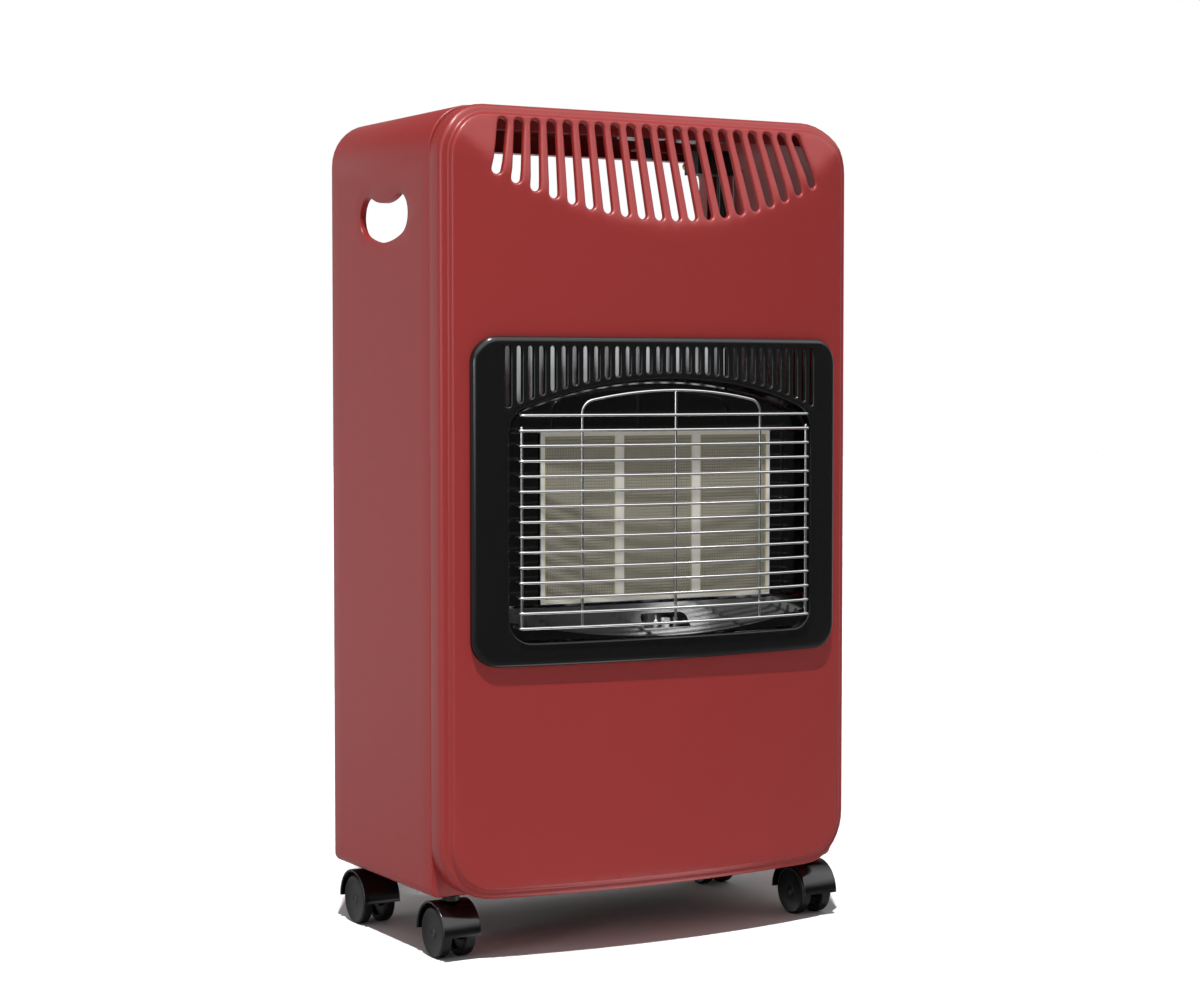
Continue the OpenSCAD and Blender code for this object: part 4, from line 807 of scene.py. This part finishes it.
# %% Swept wire
def tube(skin, path, r, sides=16, round_ends=True):
    """Sweeps a circle along a path, with a domed cap at both ends."""
    points = [Vector(p) for p in path]
    count = len(points)
    ways = [(points[min(k + 1, count - 1)] - points[max(k - 1, 0)]).normalized() for k in range(count)]
    up = Vector((0, 0, 1)) if abs(ways[0].z) < 0.9 else Vector((1, 0, 0))
    frames = []
    for spot, way in zip(points, ways):
        up = (up - way * up.dot(way)).normalized()
        frames.append((spot, way, up.copy(), 1.0))
    if round_ends:
        dome = ((0.25, 0.97), (0.55, 0.83), (0.85, 0.53), (0.97, 0.2))
        (first, way_in, side_in, wide), (last, way_out, side_out, wide) = frames[0], frames[-1]
        head = [(first - way_in * r * out, way_in, side_in, wide) for out, wide in reversed(dome)]
        tail = [(last + way_out * r * out, way_out, side_out, wide) for out, wide in dome]
        frames = head + frames + tail
    rings = []
    for spot, way, side, wide in frames:
        across = way.cross(side)
        rings.append([spot + (side * math.cos(a) + across * math.sin(a)) * r * wide for a in circle(sides)])
    skin.cap(skin.rings(rings))


def bead(skin, spot, r, sides=10):
    """A small flattened ball."""
    rings = [[(spot[0] + r * math.cos(b) * math.cos(a), spot[1] + 0.6 * r * math.sin(b),
               spot[2] + r * math.cos(b) * math.sin(a)) for a in circle(sides)]
             for b in (-1.35, -0.8, -0.25, 0.25, 0.8, 1.35)]
    skin.cap(skin.rings(rings))


# %% Level wires
wire_r, wire_n, wire_pitch = 1.25 * mm, 15, 13.04 * mm
wire_low = mouth_low + 13 * mm
wire_bend, hook_d, wire_half = 3 * mm, 9 * mm, 148.5 * mm
weld_gap = 0.02 * mm
level_r = bow_y - guard_low.y - wire_r
upright_r = level_r - 2 * wire_r - weld_gap


def level_path(z, half):
    """Bowed wire with both ends turned back."""
    reach = level_r - wire_bend
    lean = math.asin((half - wire_bend) / reach)
    plan = [(level_r * math.sin(a), bow_y - level_r * math.cos(a)) for a in np.linspace(0, lean, 24)]
    cx, cy = half - wire_bend, bow_at(reach, half - wire_bend)
    plan += [(cx + wire_bend * math.sin(a), cy - wire_bend * math.cos(a))
             for a in np.linspace(lean, math.pi / 2, 9)[1:]]
    plan.append((half, cy + hook_d - wire_bend - wire_r))
    return [(-x, y, z) for x, y in reversed(plan[1:])] + [(x, y, z) for x, y in plan]


top_shorter = 1 * mm
skin = Skin()
for i in range(wire_n):
    half = wire_half - (top_shorter if i == wire_n - 1 else 0)
    tube(skin, level_path(wire_low + i * wire_pitch, half), wire_r)
arch_drop, mid_x, end_x = 10 * mm, 91.4 * mm, 146.4 * mm
arch_wire_r, arch_bend = arch_r - arch_drop, 12 * mm
end_past, bead_r = 2.5 * mm, 1.5 * mm
end_top = wire_low + (wire_n - 2) * wire_pitch + end_past
uprights = {-end_x: end_top, end_x: end_top, 0.0: arch_z + arch_r - arch_drop - wire_r - weld_gap}
for x, high in uprights.items():
    y = bow_at(upright_r, x)
    tube(skin, [(x, y, wire_low + (high - wire_low) * k / 8) for k in range(9)], wire_r)
for i in range(wire_n):
    for x in (-end_x, -mid_x, 0.0, mid_x, end_x):
        z = wire_low + i * wire_pitch
        if i < wire_n - 1 or abs(x) < end_x:
            bead(skin, (x, bow_at(level_r - wire_r, x), z), bead_r)
wires = skin.build("guard_wires", chrome, corner=60)
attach(wires, "cabinet")
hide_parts("guard_grille")
print("guard faces", len(wires.data.polygons))

# %% Arched wire
corner_x = mid_x - arch_bend
corner_z = arch_z + math.sqrt((arch_wire_r - arch_bend) ** 2 - corner_x ** 2)
lean = math.atan2(corner_x, corner_z - arch_z)
half = [(mid_x, wire_low + (corner_z - wire_low) * k / 8) for k in range(9)]
half += [(corner_x + arch_bend * math.sin(a), corner_z + arch_bend * math.cos(a))
         for a in np.linspace(math.pi / 2, lean, 9)[1:]]
half += [(arch_wire_r * math.sin(a), arch_z + arch_wire_r * math.cos(a))
         for a in np.linspace(lean, 0, 13)[1:]]
flat_path = half + [(-x, z) for x, z in reversed(half[:-1])]
skin = Skin()
tube(skin, [(x, bow_at(upright_r - 2 * weld_gap, x), z) for x, z in flat_path], wire_r)
arch_wire = skin.build("guard_arch", chrome, corner=60)
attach(arch_wire, "cabinet")
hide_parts("guard_arch_wire")
print("arch wire faces", len(arch_wire.data.polygons))

# %% [markdown]
# ## The plaques
# An infrared plaque is a pressed tile with thousands of small flame holes. Holes that fine would vanish at
# this distance, so they are drawn larger and fewer. Each one is a real hollow here, an eight sided cup in
# its own square cell, because the holes are what make the tile look grey and woven. One mesh serves all
# three tiles.

# %% Perforated plaque
hole_pitch, hole_r, hole_d = 2.6 * mm, 0.72 * mm, 1.6 * mm


def plaque_mesh(low, high):
    """Face of a plaque with its cups, and its four sides, about the tile's own corner."""
    wide, tall, deep = high.x - low.x, high.z - low.z, high.y - low.y
    border_w = 1 * mm
    cols, rows = int((wide - 2 * border_w) / hole_pitch), int((tall - 2 * border_w) / hole_pitch)
    x0, z0 = (wide - cols * hole_pitch) / 2, (tall - rows * hole_pitch) / 2
    h = hole_pitch / 2
    points, faces, grid = [], [], {}
    for i in range(cols):
        for j in range(rows):
            x, z = x0 + i * hole_pitch, z0 + j * hole_pitch
            around = []
            for on, up in ((0, 0), (1, 0), (2, 0), (2, 1), (2, 2), (1, 2), (0, 2), (0, 1)):
                key = (2 * i + on, 2 * j + up)
                if key not in grid:
                    grid[key] = len(points)
                    points.append((x + on * h, 0, z + up * h))
                around.append(grid[key])
            lip = len(points)
            turns = [math.radians(225 + 45 * k) for k in range(8)]
            points += [(x + h + hole_r * math.cos(a), 0, z + h + hole_r * math.sin(a)) for a in turns]
            points += [(x + h + hole_r * math.cos(a), hole_d, z + h + hole_r * math.sin(a)) for a in turns]
            for k in range(8):
                n = (k + 1) % 8
                faces.append((around[k], around[n], lip + n, lip + k))
                faces.append((lip + k, lip + n, lip + 8 + n, lip + 8 + k))
            faces.append(tuple(lip + 8 + k for k in range(8)))
    edge = [grid[u, 0] for u in range(2 * cols)]
    edge += [grid[2 * cols, v] for v in range(2 * rows)]
    edge += [grid[u, 2 * rows] for u in range(2 * cols, 0, -1)]
    edge += [grid[0, v] for v in range(2 * rows, 0, -1)]
    rim, tiny = 0.5 * mm, 1e-6
    previous = edge
    for inset, depth in ((rim, 0.0), (0.0, rim), (0.0, deep)):
        ring = []
        for k in edge:
            x, _, z = points[k]
            if x < x0 + tiny or x > x0 + cols * hole_pitch - tiny:
                x = inset if x < wide / 2 else wide - inset
            if z < z0 + tiny or z > z0 + rows * hole_pitch - tiny:
                z = inset if z < tall / 2 else tall - inset
            ring.append(len(points))
            points.append((x, depth, z))
        for k in range(len(edge)):
            n = (k + 1) % len(edge)
            faces.append((previous[k], previous[n], ring[n], ring[k]))
        previous = ring
    faces.append(tuple(previous))
    mesh = bpy.data.meshes.new("perforated_plaque")
    mesh.from_pydata(points, [], faces)
    mesh.validate()
    return mesh


tiles = ("left", "middle", "right")
low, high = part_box("ceramic_plaque_left")
tile_mesh = plaque_mesh(low, high)
tile = dress(tile_mesh, "perforated_plaque_left", cordierite, corner=30, outward=((0, 0, 0), (0, -1, 0)))
tile_pieces = {name: tile if name == "left" else tile.copy() for name in tiles}
for name, piece in tile_pieces.items():
    if name != "left":
        bpy.context.scene.collection.objects.link(piece)
    piece.name = "perforated_plaque_" + name
    piece.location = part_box("ceramic_plaque_" + name)[0]
    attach(piece, "cabinet")
    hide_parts("ceramic_plaque_" + name)
print("plaque cells", len(tile_mesh.polygons))

# %% [markdown]
# ## The casters
# Twin-wheel furniture casters: a moulded nylon hood that arches over both wheels, a middle web that holds
# the pin and the axle, and two wheels with a rounded tread. All are turned shapes about the axle, so one
# lathe helper draws them: a closed profile of (place along the axle, radius) is swept through half a turn
# or a whole one. One caster is drawn and copied for the other corners. All copies are made before any piece
# is given its body and node, because a copy keeps what its source was given.

# %% Lathe helper
def lathe(skin, profile, start=0.0, end=360.0, steps=64, closed=True):
    """Turns a profile about the X axis; 0 degrees points back along Y and 90 up."""
    whole = abs(end - start - 360) < 1e-6
    turns = np.linspace(start, end, steps + 1)[:-1] if whole else np.linspace(start, end, steps + 1)
    rows = [skin.ring([(x, r * math.cos(math.radians(a)), r * math.sin(math.radians(a))) for x, r in profile])
            for a in turns]
    for a, b in zip(rows, rows[1:] + (rows[:1] if whole else [])):
        skin.join(a, b, closed)
    if not whole:
        skin.cap(rows)


def rounded_profile(x0, x1, r0, r1, bend):
    """Rectangle in the lathe's plane with all four corners rounded."""
    return rounded_box(x0, x1, r0, r1, bend, bend, step=1, count=5)


# %% Hood and wheel shapes
hood_low, hood_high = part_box("caster_fl_hood")
wheel_low, wheel_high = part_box("caster_fl_wheel_right")
axle_low, axle_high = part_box("caster_fl_axle")
axle_z = (axle_low.z + axle_high.z) / 2
caster_x = (hood_low.x + hood_high.x) / 2
hood_half, hood_r = (hood_high.x - hood_low.x) / 2, hood_high.z - axle_z
hood_wall, hood_round = 2.4 * mm, 1.0 * mm
wheel_r = (wheel_high.z - wheel_low.z) / 2
wheel_in, wheel_out = wheel_low.x - caster_x, wheel_high.x - caster_x

hood_skin = Skin()
lathe(hood_skin, rounded_profile(-hood_half, hood_half, hood_r - hood_wall, hood_r, hood_round),
      start=0, end=180, steps=48)
web_half = wheel_in - 1 * mm
web_low, web_high, web_round = 3.2 * mm, hood_r - hood_wall - 0.1 * mm, 0.6 * mm
lathe(hood_skin, rounded_profile(-web_half, web_half, web_low, web_high, web_round),
      start=0, end=180, steps=40)
eye_low, eye_high = 2.6 * mm, 6 * mm
lathe(hood_skin, rounded_profile(-web_half, web_half, eye_low, eye_high, web_round),
      start=180, end=360, steps=24)

tread, bore_r = 1.6 * mm, 2.7 * mm
tread_angles = (math.pi / 2, 1.2, 0.8, 0.4, 0.0)
wheel_profile = [(wheel_in, bore_r), (wheel_in, 8 * mm), (wheel_in + 0.4 * mm, 8.4 * mm),
                 (wheel_in + 3.5 * mm, 8.6 * mm), (wheel_in + 3.5 * mm, wheel_r - 5 * mm),
                 (wheel_in + 0.4 * mm, wheel_r - 4.8 * mm), (wheel_in, wheel_r - 4.4 * mm)]
for x, way, angles in ((wheel_in, tread, tread_angles), (wheel_out, -tread, tread_angles[::-1])):
    wheel_profile += [(x + way * (1 - math.sin(a)), wheel_r - tread * (1 - math.cos(a))) for a in angles]
wheel_profile += [(wheel_out, wheel_r - 2.6 * mm), (wheel_out - 0.5 * mm, wheel_r - 3.2 * mm),
                  (wheel_out - 0.5 * mm, 5.6 * mm), (wheel_out, 5.2 * mm), (wheel_out, 0.9 * mm),
                  (wheel_out - 0.3 * mm, 0.5 * mm), (wheel_out - 0.9 * mm, 0.5 * mm),
                  (wheel_out - 0.9 * mm, bore_r)]
wheel_skin = Skin()
lathe(wheel_skin, wheel_profile, steps=96)

# %% Eight wheels and four hoods
hood_piece = hood_skin.build("caster_hood_fl", hood_nylon, corner=50, outward=((0, 0, hood_r), (0, 0, 1)))
wheel_top = ((0, 0, wheel_r), (0, 0, 1))
right_wheel = wheel_skin.build("caster_wheel_fl_right", wheel_nylon, corner=40, outward=wheel_top)
mirrored = Skin()
mirrored.points = [(-x, y, z) for x, y, z in wheel_skin.points]
mirrored.faces = wheel_skin.faces
left_wheel = mirrored.build("caster_wheel_fl_left", wheel_nylon, corner=40, outward=wheel_top)
corners = ("fl", "fr", "rl", "rr")
caster_kinds = (("hood", hood_piece, "swivel_"), ("wheel_left", left_wheel, "wheels_"),
                ("wheel_right", right_wheel, "wheels_"))
caster_pieces = {(corner, kind): source if corner == "fl" else source.copy()
                 for corner in corners for kind, source, body in caster_kinds}
for corner in corners:
    spot = (*middle_of(*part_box("caster_" + corner + "_axle")), axle_z)
    for kind, source, body in caster_kinds:
        piece = caster_pieces[corner, kind]
        if corner != "fl":
            bpy.context.scene.collection.objects.link(piece)
        piece.name = "turned_" + corner + "_" + kind
        piece.location = spot
        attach(piece, body + corner)
        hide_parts("caster_" + corner + "_" + kind)
print("casters", round(hood_r, 4), round(wheel_r, 4))

# %% [markdown]
# ## Controls and small turned parts
# The knob is moulded: a fluted skirt, and a bar grip with rounded edges and a printed pointer. The igniter
# button is a plain domed cap on its plunger. The pilot's insulators are pressed and glazed, so all their
# edges are round. They all stand upright, so one helper turns a profile of (radius, height) about a
# vertical axis. Four printed dots of growing size round the knob stand for its heat settings.

# %% Upright turning helper
def turn_up(skin, profile, spot, sides=48, flutes=0, flute_d=0.0):
    """Turns a profile about Z; flutes of a given depth run along the rows that have a third value."""
    rows = []
    for r, z, *fluted in profile:
        row = []
        for a in circle(sides):
            cut = flute_d * (0.5 - 0.5 * math.cos(flutes * a)) ** 2 if fluted else 0
            row.append((spot[0] + (r - cut) * math.cos(a), spot[1] + (r - cut) * math.sin(a), spot[2] + z))
        rows.append(row)
    skin.cap(skin.rings(rows))


def small_piece(skin, name, material, body, node=None, corner=38, up=None):
    """Builds a small piece that rides a body and may stand in for a CAD node."""
    piece = skin.build(name, material, corner=corner, outward=up)
    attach(piece, body)
    if node:
        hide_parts(node)


# %% Knob
knob_low, knob_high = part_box("control_knob")
knob_r, skirt_h = (knob_high.x - knob_low.x) / 2, 4.5 * mm
knob_spot = (*middle_of(knob_low, knob_high), knob_low.z)
skin = Skin()
turn_up(skin, [(knob_r - 1.2 * mm, 0), (knob_r - 0.3 * mm, 0.2 * mm, True), (knob_r, 0.8 * mm, True),
               (knob_r, skirt_h - 1.2 * mm, True), (knob_r - 0.4 * mm, skirt_h - 0.4 * mm, True),
               (knob_r - 1.2 * mm, skirt_h), (knob_r - 3 * mm, skirt_h)], knob_spot,
        sides=240, flutes=30, flute_d=0.7 * mm)
grip_half, grip_w, grip_top = knob_r - 1.5 * mm - 5.5 * mm, 11 * mm, knob_high.z - knob_low.z
grip_rows = [(0.0, skirt_h - 0.3 * mm), (0.0, grip_top - 1.8 * mm), (-0.3 * mm, grip_top - 0.8 * mm),
             (-0.9 * mm, grip_top - 0.2 * mm), (-1.8 * mm, grip_top)]
rows = skin.rings([[(knob_spot[0] + x, knob_spot[1] + y, knob_spot[2] + z)
                    for x, y in slot_outline((0, -grip_half), (0, grip_half), grip_w, g)]
                   for g, z in grip_rows])
skin.faces.append(tuple(rows[-1]))
knob_top = ((*knob_spot[:2], knob_high.z), (0, 0, 1))
small_piece(skin, "fluted_knob", knob_black, "knob", "control_knob", up=knob_top)

skin = Skin()
pointer = slot_outline((0, -grip_half), (0, -grip_half + 6 * mm), 1.2 * mm)
rows = skin.rings([[(knob_spot[0] + x, knob_spot[1] + y, knob_high.z - drop) for x, y in pointer]
                   for drop in (0.3 * mm, 0.0)])
skin.faces.append(tuple(rows[-1]))
small_piece(skin, "knob_pointer", mark_white, "knob", up=knob_top)

# %% Marks round the knob
skin = Skin()
mark_r = well_r + rim_over / 2
for k, wide in enumerate((0.7, 1.0, 1.3, 1.6)):
    a = math.radians(-90 + 90 * k)
    spot = (knob_spot[0] + mark_r * math.cos(a), knob_spot[1] + mark_r * math.sin(a), console_high.z)
    turn_up(skin, [(wide * mm, -0.2 * mm), (wide * mm, 0.05 * mm), (0.01 * mm, 0.05 * mm)], spot, sides=20)
small_piece(skin, "heat_marks", mark_white, "cabinet", up=((*knob_spot[:2], console_high.z), (0, 0, 1)))

# %% Igniter button
button_low, button_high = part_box("igniter_button")
button_r, cap_h, plunger_r = (button_high.x - button_low.x) / 2, 11 * mm, 2.5 * mm
button_spot = (*middle_of(button_low, button_high), button_high.z)
dome_h = 2.4 * mm
dome = [(button_r * math.cos(a), -dome_h + dome_h * math.sin(a))
        for a in np.linspace(0.15, math.pi / 2, 10)[:-1]]
skin = Skin()
turn_up(skin, [(plunger_r, button_low.z - button_high.z), (plunger_r, -cap_h), (button_r - 0.6 * mm, -cap_h),
               (button_r, 0.6 * mm - cap_h), (button_r, -2.6 * mm)] + dome + [(0.02 * mm, 0)], button_spot)
small_piece(skin, "domed_button", button_red, "button", "igniter_button", up=(button_spot, (0, 0, 1)))

# %% Pilot tips
for node, taper, name in (("pilot_burner", 0.0, "pilot_tip"),
                          ("ignition_electrode", 0.9 * mm, "electrode_insulator")):
    low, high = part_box(node)
    r, tall = (high.x - low.x) / 2, high.z - low.z
    body_h = tall - (4 * mm if taper else 0)
    neck = r - 1.0 * mm
    shape = [(r - 0.5 * mm, 0), (r, 0.5 * mm), (r, 3.6 * mm), (r - 0.4 * mm, 4.0 * mm), (neck, 4.4 * mm)]
    if taper:
        shape += [(neck - taper * 0.4, body_h - 1.2 * mm), (neck - taper, body_h - 0.3 * mm),
                  (0.75 * mm, body_h), (0.7 * mm, tall - 0.2 * mm), (0.3 * mm, tall)]
    else:
        shape += [(neck, tall - 3.2 * mm), (r - 0.4 * mm, tall - 2.8 * mm), (r - 0.2 * mm, tall - 2.2 * mm),
                  (r - 0.2 * mm, tall - 0.6 * mm), (r - 0.8 * mm, tall)]
    skin = Skin()
    x, y = middle_of(low, high)
    turn_up(skin, shape, (x, y, low.z), sides=32)
    small_piece(skin, name, glazed_white, "cabinet", node, up=((x, low.y, high.z), (0, -1, 0)))

# %% [markdown]
# ## The gas pipe
# Thin-walled tube is bent over a former, so its corner is a smooth quarter turn with a radius of about two
# and a half diameters, never a sharp elbow.

# %% Bent pipe
def bent(points, r, count=10):
    """Rounds the corners of a route with arcs."""
    points = [Vector(p) for p in points]
    path = [points[0]]
    for before, spot, after in zip(points, points[1:], points[2:]):
        a, b = (before - spot).normalized(), (after - spot).normalized()
        half = a.angle(b) / 2
        cut = r / math.tan(half)
        centre = spot + (a + b).normalized() * r / math.sin(half)
        start, end = spot + a * cut - centre, spot + b * cut - centre
        path += [centre + start.lerp(end, k / count).normalized() * r for k in range(count + 1)]
    return path + [points[-1]]


low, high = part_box("burner_pipe")
pipe_r = (high.x - low.x) / 2
x, y = (low.x + high.x) / 2, high.y - pipe_r
route = [(x, y, high.z), (x, y, low.z + pipe_r), (x, low.y, low.z + pipe_r)]
skin = Skin()
bend_r = 2.5 * 2 * pipe_r
tube(skin, bent(route, bend_r), pipe_r, sides=24, round_ends=False)
# the pipe's black also stands in for the shade inside the cabinet: painted shade
small_piece(skin, "bent_gas_pipe", black_paint_and_shade, "cabinet", "burner_pipe", corner=60)
print("pipe radius", round(pipe_r, 4))

# %% [markdown]
# ## The rest of the solids
# Flat sheets, screws, brackets and inner tubes gain little from a finer skin. Each keeps its solid's shape
# and gets the finish that its slot names. Three nodes have a finish of their own.

# %% Finishes of the CAD parts
looks = {
    "black_enamel": black_enamel, "galvanised_steel": zinc_sheet, "cream_steel": cream_coat,
    "fibre_gasket": fibre, "ceramic": cordierite, "white_ceramic": glazed_white, "brass": brass,
    "black_steel": black_paint_and_shade, "aluminised_steel": aluminised, "black_plastic": knob_black,
    "grey_plate": zinc_sheet, "red_plastic": button_red, "lead_sleeve": lead_sleeve,
    "plated_steel": steel_tube, "hood_plastic": hood_nylon, "wheel_plastic": wheel_nylon,
    "chrome_wire": chrome, "red_enamel": powder_red}
special = {"base_tray": tray_black, "burner_surround": black_gloss, "piezo_igniter": inner_dark}
for name, node in frame["nodes"].items():
    node.data.materials.clear()
    node.data.materials.append(special.get(name, looks[slots[name]]))
print("dressed", len(frame["nodes"]), "solids")
